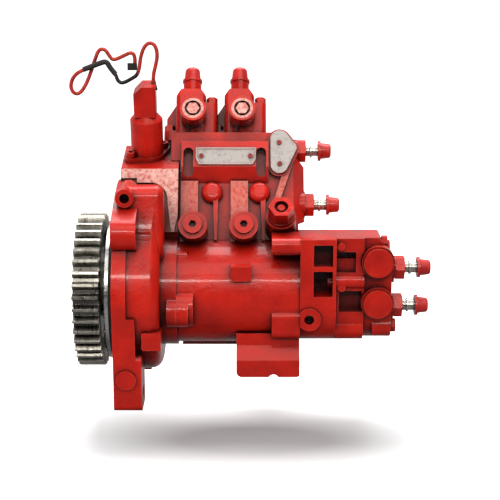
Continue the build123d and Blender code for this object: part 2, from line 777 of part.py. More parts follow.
with BuildPart() as front_housing:
    drum(DRUM_R, DRUM_LEN)
    fillet(front_housing.edges().group_by(Axis.X)[-1], DRUM_ROUND)
    drum(FLANGE_R, FLANGE_T)
    boss(side(0), (0, 0), NECK_R, FRONT_LEN)
    prism(
        side(TOWER_X),
        [
            bank_yz(TOWER_FRONT_B - FACE_T, TOWER_FOOT_A),
            deck_yz(DECK_C, FACE_BACK_S),
            deck_yz(DECK_C, DECK_BACK_S),
            (deck_yz(DECK_C, DECK_BACK_S)[0], TOWER_BACK_Z),
            (0, TOWER_BACK_Z),
        ],
        FRONT_LEN - TOWER_X,
    )
    # flat facing on the tower's front, cut off level with the deck
    with BuildSketch(face(TOWER_FRONT_B - FACE_T)) as facing:
        with BuildLine():
            Polyline(
                (FACE_XS[2], FACE_AS[1]),
                (FACE_XS[1], FACE_AS[1]),
                (FACE_XS[1], FACE_AS[0]),
                (FACE_XS[0], FACE_AS[0]),
                (FACE_XS[0], FACE_TOP_A),
                (FRONT_LEN, FACE_TOP_A),
                (FRONT_LEN, FACE_AS[5]),
                (FACE_XS[6], FACE_AS[4]),
                (FACE_XS[5], FACE_AS[4]),
                (FACE_XS[4], FACE_AS[3]),
            )
            ThreePointArc((FACE_XS[4], FACE_AS[3]), (FACE_XS[3], FACE_AS[2]), (FACE_XS[2], FACE_AS[1]))
        make_face()
    extrude(facing.sketch, amount=FACE_T)
    face_s = (FACE_BACK_S - 3 * FACE_T, FACE_BACK_S)
    block(deck(DECK_C), (TOWER_X, FRONT_LEN), face_s, 2 * FACE_T, Mode.SUBTRACT)
    # lugs for the flange bolts
    for way in (-1, 1):
        boss(side(0), (way * FLANGE_BOLT_Y, FLANGE_BOLT_TOP_Z), TOP_LUG_R, FLANGE_HOLE_LEN + 2)
        lug_y = sorted((way * LOW_LUG_Y[0], way * LOW_LUG_Y[1]))
        block(side(0), lug_y, LOW_LUG_Z, LOW_LUG_LEN, corner=7.0)
        prism(side(0), [(-way * y, z) for y, z in LUG_WEB], LUG_WEB_X)
    hull(side(0), ((-FLANGE_BOLT_Y, FLANGE_BOLT_TOP_Z, TOP_LUG_R), LUG_TOP), FLANGE_HOLE_LEN + 2)
    boss(front(-LOW_LUG_Y[1] + 2), (LUG_PAD_X, LUG_PAD_Z), LUG_PAD_R, LUG_PAD_T + 2)
    # bracket boss with its arm, cast pad and ear
    with BuildPart(mode=Mode.PRIVATE) as arm:
        hull(side(ARM_X[0]), (ARM_TOP, ARM_FOOT), ARM_X[1] - ARM_X[0])
        fillet(arm.edges().group_by(Axis.X)[-1], ARM_ROUND)
    add(arm.part)
    boss(front(0), FRONT_BRACKET, BRACKET_BOSS_R, -FRONT_BRACKET_Y)
    block(front(-60), PAD_X, PAD_Z, -PAD_Y - 60, corner=1.5)
    boss(side(EAR_X[0]), EAR_YZ, EAR_R, FRONT_LEN - EAR_X[0])
    # bores: bearing cap spigot, bearing, shaft
    boss(side(0), (0, 0), CAP_SPIGOT_R, CAP_SPIGOT_LEN, Mode.SUBTRACT)
    boss(side(CAP_SPIGOT_LEN), (0, 0), BEARING_R, BEARING_W, Mode.SUBTRACT)
    boss(side(BEARING_END_X), (0, 0), CHAMBER_R - 4, FRONT_LEN - BEARING_END_X, Mode.SUBTRACT)
    head_end_x = FRONT_SCREW_HEAD_X + FRONT_SCREW_HEAD_T
    for spot in FRONT_SCREWS:
        boss(side(0), spot, FRONT_SCREW_HEAD_R + CLEAR, head_end_x, Mode.SUBTRACT)
        boss(side(0), spot, FRONT_SCREW_R, FRONT_LEN, Mode.SUBTRACT)
    # room for the nose of the bank, the first delivery head and its left bolt
    block(
        lean(NOSE_X - JOINT_GAP),
        (-NOSE_D - CLEAR, NOSE_D + CLEAR),
        (0, NOSE_A[1] + CLEAR),
        FRONT_LEN - NOSE_X + JOINT_GAP,
        Mode.SUBTRACT,
    )
    block(
        up(BANK_TOP_A - CLEAR),
        (LINE_X - HEAD_LEFT - CLEAR, FRONT_LEN),
        (-HEAD_B[1] - CLEAR, -HEAD_B[0] + CLEAR),
        HEAD_H,
        Mode.SUBTRACT,
    )
    dx, b, rise, length = HEAD_BOLTS[1]
    boss(up(BANK_TOP_A + rise - length), (LINE_X + dx, -b), HEAD_BOLT_R, length, Mode.SUBTRACT)
    for y in (-FLANGE_BOLT_Y, FLANGE_BOLT_Y):
        for z in (FLANGE_BOLT_LOW_Z, FLANGE_BOLT_TOP_Z):
            boss(side(0), (y, z), FLANGE_HOLE_R, LOW_LUG_LEN, Mode.SUBTRACT)
        boss(
            side(FLANGE_HOLE_LEN + 2), (y, FLANGE_BOLT_TOP_Z), SPOT_FACE_R, SPOT_FACE_LEN, Mode.SUBTRACT
        )
    boss(front(FRONT_BRACKET_Y), FRONT_BRACKET, BRACKET_HOLE_R, -FRONT_BRACKET_DEPTH, Mode.SUBTRACT)
    # metering spool bore under the actuator
    boss(deck(SPOOL_FLOOR_C), ACT_XS, SPOOL_R, DECK_C - SPOOL_FLOOR_C, Mode.SUBTRACT)
save(front_housing, "front_housing")

with BuildPart() as front_housing_screws:
    for spot in FRONT_SCREWS:
        boss(side(FRONT_SCREW_HEAD_X), spot, FRONT_SCREW_HEAD_R, FRONT_SCREW_HEAD_T)
        boss(side(FRONT_SCREW_HEAD_X), spot, FRONT_SCREW_R, FRONT_SCREW_END_X - FRONT_SCREW_HEAD_X)
        hexagon(side(FRONT_SCREW_HEAD_X), spot, FRONT_SCREW_R * 1.6, 5, Mode.SUBTRACT)
save(front_housing_screws, "front_housing_screws")

# ---------------------------------------------------------------- pump housing
REAR_EARS = (((-60.0, -14.0), (52.0, 70.0)), ((16.0, 50.0), (28.0, 56.0)))
LOW_EARS = (((-60.0, -28.0), (-40.0, -9.0)), ((24.0, 50.0), (-42.0, -14.0)))
FRONT_GAP_C = DECK_C + JOINT_GAP
VALVE_PLANE = Plane(origin=bank_at(*VALVE_SEAT), x_dir=(1, 0, 0), z_dir=VALVE_DIR)


def teardrop(grow):
    """Outline of the cover plate: the hull of three discs."""
    for x, a, r in (COVER_TOP, COVER_LOW, COVER_SIDE):
        with Locations((x, a)):
            Circle(r + grow)
    make_hull()


with BuildPart() as pump_housing:
    boss(side(FRONT_LEN), (0, 0), BARREL_R, BARREL_LEN)
    # plunger bank, seen from the front: square at the left, stepped down at the right
    prism(
        face(BANK_BACK_B),
        [
            (BANK_X, BANK_FOOT_A),
            (BANK_X, BANK_TOP_A),
            (BANK_STEP_X[0], BANK_TOP_A),
            (BANK_STEP_X[1], BANK_TOP_A - BANK_STEP_DROP[0]),
            (BANK_STEP_X[1], BANK_TOP_A - BANK_STEP_DROP[1]),
            (BANK_RIGHT_X, BANK_TOP_A - BANK_STEP_DROP[2]),
            (BANK_RIGHT_X, BANK_TAIL_A[0]),
            (REAR_X, BANK_TAIL_A[1]),
            (REAR_X, BANK_FOOT_A),
        ],
        BANK_FRONT_B - BANK_BACK_B,
    )
    prism(
        up(BANK_FOOT_A),
        [(BANK_CUT_X, -BANK_FRONT_B), (BANK_RIGHT_X, -BANK_FRONT_B), (BANK_RIGHT_X, -BANK_FRONT_B + 16)],
        BANK_TOP_A - BANK_FOOT_A,
        Mode.SUBTRACT,
    )
    # nose round the first tappet, let into the front housing
    block(lean(NOSE_X), (-NOSE_D, NOSE_D), NOSE_A, BANK_X - NOSE_X + 4)
    # wing of the bank over the deck
    wing_low_b = BANK_FRONT_B
    wing_low_a = (FRONT_GAP_C - BANK_FRONT_B * sin(BANK_LEAN + DECK_LEAN)) / cos(BANK_LEAN + DECK_LEAN)
    wing_back_b = (FRONT_GAP_C - BANK_TOP_A * cos(BANK_LEAN + DECK_LEAN)) / sin(BANK_LEAN + DECK_LEAN)
    prism(
        side(WING_X),
        [bank_yz(wing_low_b, wing_low_a), bank_yz(wing_low_b, BANK_TOP_A), bank_yz(wing_back_b, BANK_TOP_A)],
        BANK_X + 4 - WING_X,
    )
    # nameplate beam with its sloped underside and two scallops
    prism(
        lean(BEAM_X[0]),
        [
            (-BANK_FRONT_B + 4, BEAM_FOOT_A),
            (-BANK_FRONT_B, BEAM_FOOT_A),
            (-BEAM_B, BEAM_LOW_A),
            (-BEAM_B, BEAM_TOP_A),
            (-BANK_FRONT_B, BEAM_TOP_A + 4),
            (-BANK_FRONT_B + 4, BEAM_TOP_A + 4),
        ],
        BEAM_X[1] - BEAM_X[0],
    )
    for x in SCALLOP_XS:
        with BuildSketch(face(BEAM_B - SCALLOP_D)):
            with Locations((x, (SCALLOP_A[0] + SCALLOP_A[1]) / 2)):
                SlotOverall(SCALLOP_A[1] - SCALLOP_A[0], SCALLOP_W, rotation=90)
        extrude(amount=SCALLOP_D + 2, mode=Mode.SUBTRACT)
    # flat columns over the tappets, knobs and ribs between them
    for x in LINES:
        column_x = (x - COLUMN_W / 2, x + COLUMN_W / 2)
        block(face(BANK_FRONT_B - 5), column_x, COLUMN_A, COLUMN_B - BANK_FRONT_B + 5)
    for x in KNOB_XS:
        with BuildPart(mode=Mode.PRIVATE) as knob:
            boss(face(BANK_FRONT_B - 8), (x, KNOB_A), KNOB_R, KNOB_B - BANK_FRONT_B + 8)
            fillet(knob.edges().group_by(Axis((0, 0, 0), BANK_NORMAL))[-1], 7.0)
        add(knob.part)
        prism(
            face(BANK_FRONT_B - 4),
            [(x + 1, KNOB_A), (x + 7, KNOB_A), (x + 5.5, 44.0), (x + 3, 44.0)],
            RIB_B - BANK_FRONT_B + 4,
        )
    # cover boss at the right end
    with BuildSketch(face(BANK_FRONT_B - 8)):
        teardrop(2.5)
    extrude(amount=COVER_B - BANK_FRONT_B + 8)
    prism(face(BANK_FRONT_B - 4), STRUT, STRUT_B - BANK_FRONT_B + 4)
    # bosses of the gallery plugs and of the overflow valve
    for x in LINES:
        boss(face(0), (x + PLUG_OFFSET, PLUG_A), PLUG_BOSS_R, PLUG_BOSS_B)
    boss(VALVE_PLANE.offset(-40), (0, 0), VALVE_BOSS_R, 40)
    # fuel ports on the right end
    for (x, b, a), radius in zip(PORTS, PORT_RS):
        boss(side(x - 25), bank_yz(b, a), radius, 25)
    # ears, seat pad, rail and foot
    boss(side(FRONT_LEN), EAR_YZ, EAR_R, EAR_X[1] - FRONT_LEN)
    boss(side(FRONT_LEN), (-EAR_YZ[0], EAR_YZ[1]), EAR_R, EAR_X[1] - FRONT_LEN)
    boss(side(FRONT_LEN), SEAM_EAR_YZ, SEAM_EAR_R, SEAM_EAR_END_X - FRONT_LEN)
    for across, along in REAR_EARS + LOW_EARS:
        block(side(REAR_EAR_X), across, along, REAR_X - REAR_EAR_X, corner=7.5)
    block(front(-30), SEAT_PAD_X, SEAT_PAD_Z, -SEAT_PAD_Y - 30, corner=1.5)
    block(side(FRONT_LEN + 4), (-RAIL_Y, RAIL_Y), (RAIL_Z, -40), FOOT_X[0] - FRONT_LEN)
    prism(
        side(FOOT_X[0]),
        [
            (-FOOT_Y, FOOT_Z),
            (-FOOT_Y, FOOT_FACE_Z),
            (-FOOT_Y + 12, FOOT_FACE_Z + 13),
            (-FOOT_Y + 12, -36.0),
            (FOOT_Y - 12, -36.0),
            (FOOT_Y - 12, FOOT_FACE_Z + 13),
            (FOOT_Y, FOOT_FACE_Z),
            (FOOT_Y, FOOT_Z),
        ],
        FOOT_X[1] - FOOT_X[0],
    )
    foot_corners = pump_housing.edges().filter_by(Axis.Y)
    foot_corners = foot_corners.filter_by(lambda e: e.center().Z < FOOT_Z + 0.5)
    fillet(foot_corners, 6.0)
    boss(front(FOOT_Y + 1), (170.0, FOOT_Z - 3), 6.0, 2 * FOOT_Y + 2, Mode.SUBTRACT)
    # room for the castings behind
    block(side(REAR_X), (-90.0, 90.0), (FOOT_Z, STACK_TOP_Z + JOINT_GAP), 20, Mode.SUBTRACT)
    # bores
    boss(side(FRONT_LEN), (0, 0), CHAMBER_R, BUSH_X - FRONT_LEN, Mode.SUBTRACT)
    boss(side(BUSH_X), (0, 0), BUSH_R, BUSH_LEN, Mode.SUBTRACT)
    boss(side(BUSH_X), (0, 0), TAIL_R + 3, REAR_X - BUSH_X, Mode.SUBTRACT)
    for x in LINES:
        boss(up(15), (x, 0), TAPPET_R, SHOULDER_A - 15, Mode.SUBTRACT)
        boss(up(SHOULDER_A - 1), (x, 0), BARREL_SLEEVE_R, BANK_TOP_A - SHOULDER_A + 1, Mode.SUBTRACT)
        boss(face(TAPPET_R + 7), (x + PLUG_OFFSET, PLUG_A), 9.0, PLUG_BOSS_B - TAPPET_R, Mode.SUBTRACT)
        for dx, b, rise, length in HEAD_BOLTS:
            boss(up(BANK_TOP_A + rise - length), (x + dx, -b), HEAD_BOLT_R, length, Mode.SUBTRACT)
    for y, z in FRONT_SCREWS:
        boss(side(FRONT_LEN), (y, z), FRONT_SCREW_R, FRONT_SCREW_END_X - FRONT_LEN, Mode.SUBTRACT)
    for y, z in STACK_BOLTS:
        boss(side(REAR_X), (y, z), STACK_BOLT_R, -26, Mode.SUBTRACT)
    boss(front(-40), OIL_HOLE, OIL_HOLE_R, 30, Mode.SUBTRACT)
    boss(VALVE_PLANE.offset(-12), (0, 0), 8.0, 12, Mode.SUBTRACT)
    boss(VALVE_PLANE, (0, 0), VALVE_BOSS_R, 30, Mode.SUBTRACT)
    for x, b, a in PORTS:
        boss(side(x - 10), bank_yz(b, a), 7.0, 10, Mode.SUBTRACT)
save(pump_housing, "pump_housing")

# ---------------------------------------------------------------- valve train, one set per plunger
for number, x in enumerate(LINES, start=1):
    with BuildPart() as tappet:
        boss(up(TAPPET_A), (x, 0), TAPPET_R - RUN, TAPPET_LEN)
        boss(up(TAPPET_FLOOR_A), (x, 0), TAPPET_CUP_R, TAPPET_LEN, Mode.SUBTRACT)
        slot_half = ROLLER_W / 2 + CLEAR
        block(
            up(TAPPET_A), (x - slot_half, x + slot_half), (-TAPPET_R, TAPPET_R),
            TAPPET_WEB_A - TAPPET_A, Mode.SUBTRACT,
        )
        boss(side(x - TAPPET_R), bank_yz(0, ROLLER_A), ROLLER_PIN_R, 2 * TAPPET_R, Mode.SUBTRACT)
    save(tappet, f"tappet_{number}")

    with BuildPart() as roller_pin:
        boss(side(x - TAPPET_R + 2), bank_yz(0, ROLLER_A), ROLLER_PIN_R, 2 * TAPPET_R - 4)
    save(roller_pin, f"roller_pin_{number}")

    with BuildPart() as roller:
        boss(side(x - ROLLER_W / 2), bank_yz(0, ROLLER_A), ROLLER_R, ROLLER_W)
        chamfer(roller.edges(), 0.8)
        boss(side(x - ROLLER_W / 2), bank_yz(0, ROLLER_A), ROLLER_PIN_R + RUN, ROLLER_W, Mode.SUBTRACT)
    save(roller, f"tappet_roller_{number}")

    with BuildPart() as spring:
        foot = Vector(*bank_at(x, 0, TAPPET_FLOOR_A))
        coil(foot, PLUNGER_DIR, SPRING_R, SPRING_WIRE_R, SPRING_TURNS, SHOULDER_A - TAPPET_FLOOR_A)
    save(spring, f"tappet_spring_{number}")

    plunger_line = lathe((x, 0, 0), PLUNGER_DIR)
    with BuildPart() as plunger:
        turn(
            plunger_line,
            [
                (0, TAPPET_FLOOR_A),
                (PLUNGER_FOOT_R, TAPPET_FLOOR_A),
                (PLUNGER_FOOT_R, TAPPET_FLOOR_A + PLUNGER_FOOT_T),
                (PLUNGER_R, TAPPET_FLOOR_A + PLUNGER_FOOT_T),
                (PLUNGER_R, PLUNGER_TOP_A),
                (0, PLUNGER_TOP_A),
            ],
        )
    save(plunger, f"plunger_{number}")

    with BuildPart() as sleeve:
        turn(
            plunger_line,
            [
                (PLUNGER_R + RUN, SHOULDER_A),
                (BARREL_SLEEVE_R, SHOULDER_A),
                (BARREL_SLEEVE_R, BANK_TOP_A),
                (BARREL_FLANGE_R, BANK_TOP_A),
                (BARREL_FLANGE_R, BANK_TOP_A + BARREL_FLANGE_T),
                (PLUNGER_R + RUN, BANK_TOP_A + BARREL_FLANGE_T),
            ],
        )
    save(sleeve, f"plunger_barrel_{number}")

    with BuildPart() as head:
        left, right = x - HEAD_LEFT, x + HEAD_RIGHT
        prism(
            face(HEAD_B[0]),
            [
                (left, BANK_TOP_A),
                (right, BANK_TOP_A),
                (right, HEAD_TOP_A - HEAD_SLOPE[1]),
                (right - HEAD_SLOPE[0], HEAD_TOP_A),
                (left + HEAD_SLOPE[0], HEAD_TOP_A),
                (left, HEAD_TOP_A - HEAD_SLOPE[1]),
            ],
            HEAD_B[1] - HEAD_B[0],
        )
        fillet(head.edges().filter_by(Axis((0, 0, 0), PLUNGER_DIR)), 5.0)
        boss(up(HEAD_TOP_A - 5), (x, 0), STUB_R, STUB_LEN + 5)
        boss(up(HEAD_TOP_A), (x, 0), NIPPLE_R, NIPPLE_LEN)
        for dx, b, rise, length in HEAD_BOLTS:
            boss(up(BANK_TOP_A), (x + dx, -b), HEAD_BOSS_R, rise)
            block(up(BANK_TOP_A), sorted((x, x + dx)), (-b - HEAD_BOSS_R, -b + HEAD_BOSS_R), rise)
        prism(
            face(GUSSET_B[0]),
            [
                (left + 1, BANK_TOP_A + GUSSET_RISE[0]),
                (x - GUSSET_REACH, BANK_TOP_A + GUSSET_RISE[1]),
                (x - GUSSET_REACH, BANK_TOP_A + GUSSET_RISE[2]),
                (left + 1, BANK_TOP_A + GUSSET_RISE[2]),
            ],
            GUSSET_B[1] - GUSSET_B[0],
        )
        spot = (x + CHECK_OFFSET, CHECK_A)
        boss(face(0), spot, CHECK_R, CHECK_B)
        boss(face(CHECK_SEAT_B), spot, CHECK_PLUG_R, CHECK_B - CHECK_SEAT_B, Mode.SUBTRACT)
        boss(face(POPPET_B - CLEAR), spot, VALVE_ROOM_R, CHECK_SEAT_B - POPPET_B + CLEAR, Mode.SUBTRACT)
        boss(up(BANK_TOP_A), (x, 0), BARREL_FLANGE_R, BARREL_FLANGE_T, Mode.SUBTRACT)
        boss(up(BANK_TOP_A), (x, 0), PLUNGER_R, CHECK_RISE, Mode.SUBTRACT)
        boss(up(CHECK_A), (x, 0), OUTLET_R, NIPPLE_TOP_A - CHECK_A, Mode.SUBTRACT)
        boss(face(0), spot, OUTLET_R, POPPET_B, Mode.SUBTRACT)
        for dx, b, rise, length in HEAD_BOLTS:
            boss(up(BANK_TOP_A), (x + dx, -b), HEAD_BOLT_R, rise, Mode.SUBTRACT)
    save(head, f"delivery_head_{number}")

    with BuildPart() as poppet:
        boss(face(POPPET_B), spot, VALVE_ROOM_R - 1.5, POPPET_T)
        boss(face(POPPET_B + POPPET_T), spot, POPPET_STEM_R, CHECK_SEAT_B - POPPET_B - POPPET_T + 2)
    save(poppet, f"inlet_valve_{number}")

    with BuildPart() as cap:
        turn(
            plunger_line,
            [
                (NIPPLE_R + CLEAR, STUB_TOP_A),
                (CAP_LIP_R, STUB_TOP_A),
                (CAP_LIP_R, STUB_TOP_A + CAP_LIP_T),
                (CAP_LIP_R - 1.8, STUB_TOP_A + CAP_LIP_T),
                (CAP_LIP_R - 2.8, STUB_TOP_A + CAP_LEN - 3.5),
                (CAP_LIP_R - 3.6, STUB_TOP_A + CAP_LEN - 1.5),
                (CAP_LIP_R - 5.5, STUB_TOP_A + CAP_LEN),
                (0, STUB_TOP_A + CAP_LEN),
                (0, NIPPLE_TOP_A + CLEAR),
                (NIPPLE_R + CLEAR, NIPPLE_TOP_A + CLEAR),
            ],
        )
    save(cap, f"outlet_cap_{number}")

with BuildPart() as check_valve_plugs:
    for x in LINES:
        spot = (x + CHECK_OFFSET, CHECK_A)
        boss(face(CHECK_SEAT_B), spot, CHECK_PLUG_R, CHECK_B - CHECK_SEAT_B)
        boss(face(CHECK_B - CHECK_RECESS_D), spot, CHECK_RECESS_R, CHECK_RECESS_D, Mode.SUBTRACT)
        hexagon(face(CHECK_B - CHECK_RECESS_D - 1), spot, CHECK_HEX_AF, CHECK_RECESS_D + 1)
        boss(face(CHECK_SEAT_B), spot, POPPET_STEM_R + RUN, 5, Mode.SUBTRACT)
save(check_valve_plugs, "check_valve_plugs")

with BuildPart() as gallery_plugs:
    for x in LINES:
        spot = (x + PLUG_OFFSET, PLUG_A)
        boss(face(TAPPET_R + 9), spot, 9.0, PLUG_BOSS_B - TAPPET_R - 9)
        boss(face(PLUG_BOSS_B), spot, 10.2, 4.5)
        hexagon(face(PLUG_BOSS_B - 4), spot, 7.5, 8.5, Mode.SUBTRACT)
save(gallery_plugs, "gallery_plugs")

with BuildPart() as head_bolts:
    for x in LINES:
        for dx, b, rise, length in HEAD_BOLTS:
            boss(up(BANK_TOP_A + rise - length), (x + dx, -b), HEAD_BOLT_R, length)
            hexagon(up(BANK_TOP_A + rise), (x + dx, -b), HEAD_BOLT_HEX_AF, 7.0)
save(head_bolts, "head_bolts")

# ---------------------------------------------------------------- overflow valve, plates
with BuildPart() as overflow_valve:
    boss(VALVE_PLANE, (0, 0), VALVE_AF / 2 + 2, 3)
    hexagon(VALVE_PLANE.offset(3), (0, 0), VALVE_AF, VALVE_HEX_LEN)
    boss(VALVE_PLANE.offset(-12), (0, 0), 8.0, 12)
    boss(VALVE_PLANE.offset(VALVE_HEX_LEN - 3), (0, 0), 7.5, 6, Mode.SUBTRACT)
    boss(VALVE_PLANE.offset(VALVE_HEX_LEN - 4), (0, 0), 4.0, 5)
save(overflow_valve, "overflow_valve")

NAMEPLATE_SCREWS = [
    (NAMEPLATE_X[0] + 6.3, sum(NAMEPLATE_A) / 2), (NAMEPLATE_X[1] - 6.3, sum(NAMEPLATE_A) / 2),
]


def tray(inset):
    """Outline of the nameplate, with its lower corners cut, drawn in by an inset."""
    x0, x1 = NAMEPLATE_X[0] + inset, NAMEPLATE_X[1] - inset
    a0, a1 = NAMEPLATE_A[0] + inset, NAMEPLATE_A[1] - inset
    cut = NAMEPLATE_CUT
    return [(x0, a1), (x1, a1), (x1, a0 + 2 * cut), (x1 - cut, a0), (x0 + cut, a0), (x0, a0 + 2 * cut)]


with BuildPart() as nameplate:
    prism(face(BEAM_B), tray(0), NAMEPLATE_T)
    prism(face(BEAM_B + NAMEPLATE_T - NAMEPLATE_TRAY_D), tray(NAMEPLATE_RIM), NAMEPLATE_TRAY_D, Mode.SUBTRACT)
save(nameplate, "nameplate")

with BuildPart() as cover_plate:
    with BuildSketch(face(COVER_B)):
        teardrop(0)
    extrude(amount=COVER_T)
save(cover_plate, "cover_plate")

with BuildPart() as plate_screws:
    for spot in NAMEPLATE_SCREWS:
        boss(face(BEAM_B + NAMEPLATE_T - NAMEPLATE_TRAY_D), spot, PLATE_SCREW_R, PLATE_SCREW_T)
    for spot in COVER_SCREWS:
        boss(face(COVER_B + COVER_T), spot, PLATE_SCREW_R, PLATE_SCREW_T)
save(plate_screws, "plate_screws")

# ---------------------------------------------------------------- rear housing and gear pump
def stack(x, length, front_y=STACK_FRONT_Y):
    """Common outline of the castings behind the barrel: swept up below, falling away behind."""
    ridge_y, ridge_z = STACK_RIDGE
    with BuildSketch(side(x)) as outline:
        with BuildLine():
            Polyline(
                (front_y, STACK_TOP_Z), (ridge_y, ridge_z), (STACK_BACK_Y, STACK_SHOULDER_Z),
                (STACK_BACK_Y, STACK_LOW_Z), (front_y, STACK_LOW_Z), close=True,
            )
        make_face()
        corners = outline.vertices().group_by(Axis.X)
        fillet(corners[0].sort_by(Axis.Y)[0], STACK_SWEEP)
        fillet(corners[0].sort_by(Axis.Y)[-1], STACK_ROUND)
        fillet(corners[-1], STACK_ROUND)
    extrude(outline.sketch, amount=length)


def stack_bolt_holes(x, length):
    """Clearance holes for the long bolts."""
    for y, z in STACK_BOLTS:
        boss(side(x), (y, z), STACK_BOLT_R + CLEAR, length, Mode.SUBTRACT)


with BuildPart() as rear_housing:
    stack(REAR_X, REAR_LEN)
    boss(front(-40), REAR_BRACKET, REAR_BRACKET_BOSS_R, -CAP_FACE_Y - 40)
    block(side(REAR_X), (-90.0, 90.0), (-90.0, 90.0), -10, Mode.SUBTRACT)
    block(front(STACK_FRONT_Y + WINDOW_1_D), WINDOW_X, WINDOW_1_Z, WINDOW_1_D, Mode.SUBTRACT)
    block(front(STACK_FRONT_Y + WINDOW_2_D), WINDOW_X, WINDOW_2_Z, WINDOW_2_D, Mode.SUBTRACT)
    boss(side(REAR_X), (0, 0), TAIL_R + 3, REAR_LEN, Mode.SUBTRACT)
    boss(
        front(CAP_FACE_Y + REAR_BRACKET_DEPTH), REAR_BRACKET, BRACKET_HOLE_R, REAR_BRACKET_DEPTH + 1,
        Mode.SUBTRACT,
    )
    stack_bolt_holes(REAR_X, REAR_LEN)
    boss(side(WINDOW_X[1]), (-46.0, 20.5), 3.0, PUMP_X - WINDOW_X[1], Mode.SUBTRACT)
save(rear_housing, "rear_housing")

with BuildPart() as rear_housing_bolt:
    hexagon(side(WINDOW_X[1] - 5), (-46.0, 20.5), 9.0, 5)
    boss(side(WINDOW_X[1]), (-46.0, 20.5), 3.0, 14)
save(rear_housing_bolt, "rear_housing_bolt")

COVER_SIDE_Y = -50.0
BODY_NUBS = ((242.0, 17.5, 4.5), (241.0, 62.0, 4.0))
GEAR_ROOM_R = PUMP_MODULE * (PUMP_TEETH / 2 + 0.85) + RUN
GEAR_ROOM_X = COVER_X - PUMP_GEAR_W - 2 * RUN
with BuildPart() as gear_pump_body:
    stack(PUMP_X, PUMP_BODY_LEN, BODY_FRONT_Y)
    # two pockets in its front, the upper one stepped
    upper_end, lower_start, lower_end = (PUMP_X + length for length in BODY_CUT_X)
    for (depth, low, high), across in (
        (BODY_TOP_CUT, (PUMP_X, upper_end)),
        (BODY_MID_CUT, (PUMP_X, upper_end)),
        (BODY_LOW_CUT, (lower_start, lower_end)),
    ):
        block(front(BODY_FRONT_Y + depth), across, (low, high), depth + 3, Mode.SUBTRACT)
    boss(side(PUMP_X), STACK_BOLTS[2], TUBE_LOW_R, PUMP_BODY_LEN)
    boss(side(PUMP_X), MID_RIB, MID_RIB_R, PUMP_BODY_LEN)
    for x, z, radius in BODY_NUBS:
        boss(front(BODY_FRONT_Y + 5), (x, z), radius, 9)
    for z in (0, PUMP_CENTRES):
        boss(side(GEAR_ROOM_X), (0, z), GEAR_ROOM_R, COVER_X - GEAR_ROOM_X, Mode.SUBTRACT)
        boss(side(PUMP_X), (0, z), TAIL_R + RUN, PUMP_BODY_LEN, Mode.SUBTRACT)
    stack_bolt_holes(PUMP_X, PUMP_BODY_LEN)
    boss(side(PUMP_X), (-46.0, 20.5), 3.0, 11, Mode.SUBTRACT)
    for spot in (CAP_UPPER, CAP_LOWER):
        boss(front(COVER_SIDE_Y + 7), spot, TURRET_R + JOINT_GAP, 30, Mode.SUBTRACT)
save(gear_pump_body, "gear_pump_body")


def pump_gear(z, turn_by):
    """Pump gear for the active part, centred at height z and turned by an angle."""
    tooth = (0, cos(turn_by), sin(turn_by))
    with BuildSketch(Plane(origin=(GEAR_ROOM_X + RUN, 0, z), x_dir=tooth, z_dir=(1, 0, 0))) as outline:
        with BuildLine():
            gear_outline(PUMP_MODULE, PUMP_TEETH, 0.85 * PUMP_MODULE, 1.15 * PUMP_MODULE, 0.25)
        make_face()
    extrude(outline.sketch, amount=PUMP_GEAR_W)


with BuildPart() as pump_drive_gear:
    pump_gear(0, 0)
    boss(side(GEAR_ROOM_X), (0, 0), TAIL_R, PUMP_GEAR_W + 1, Mode.SUBTRACT)
save(pump_drive_gear, "pump_drive_gear")

with BuildPart() as pump_driven_gear:
    pump_gear(PUMP_CENTRES, pi / PUMP_TEETH)
    boss(side(PUMP_X + 1), (0, PUMP_CENTRES), TAIL_R, COVER_X + 9 - PUMP_X - 1)
save(pump_driven_gear, "pump_driven_gear")

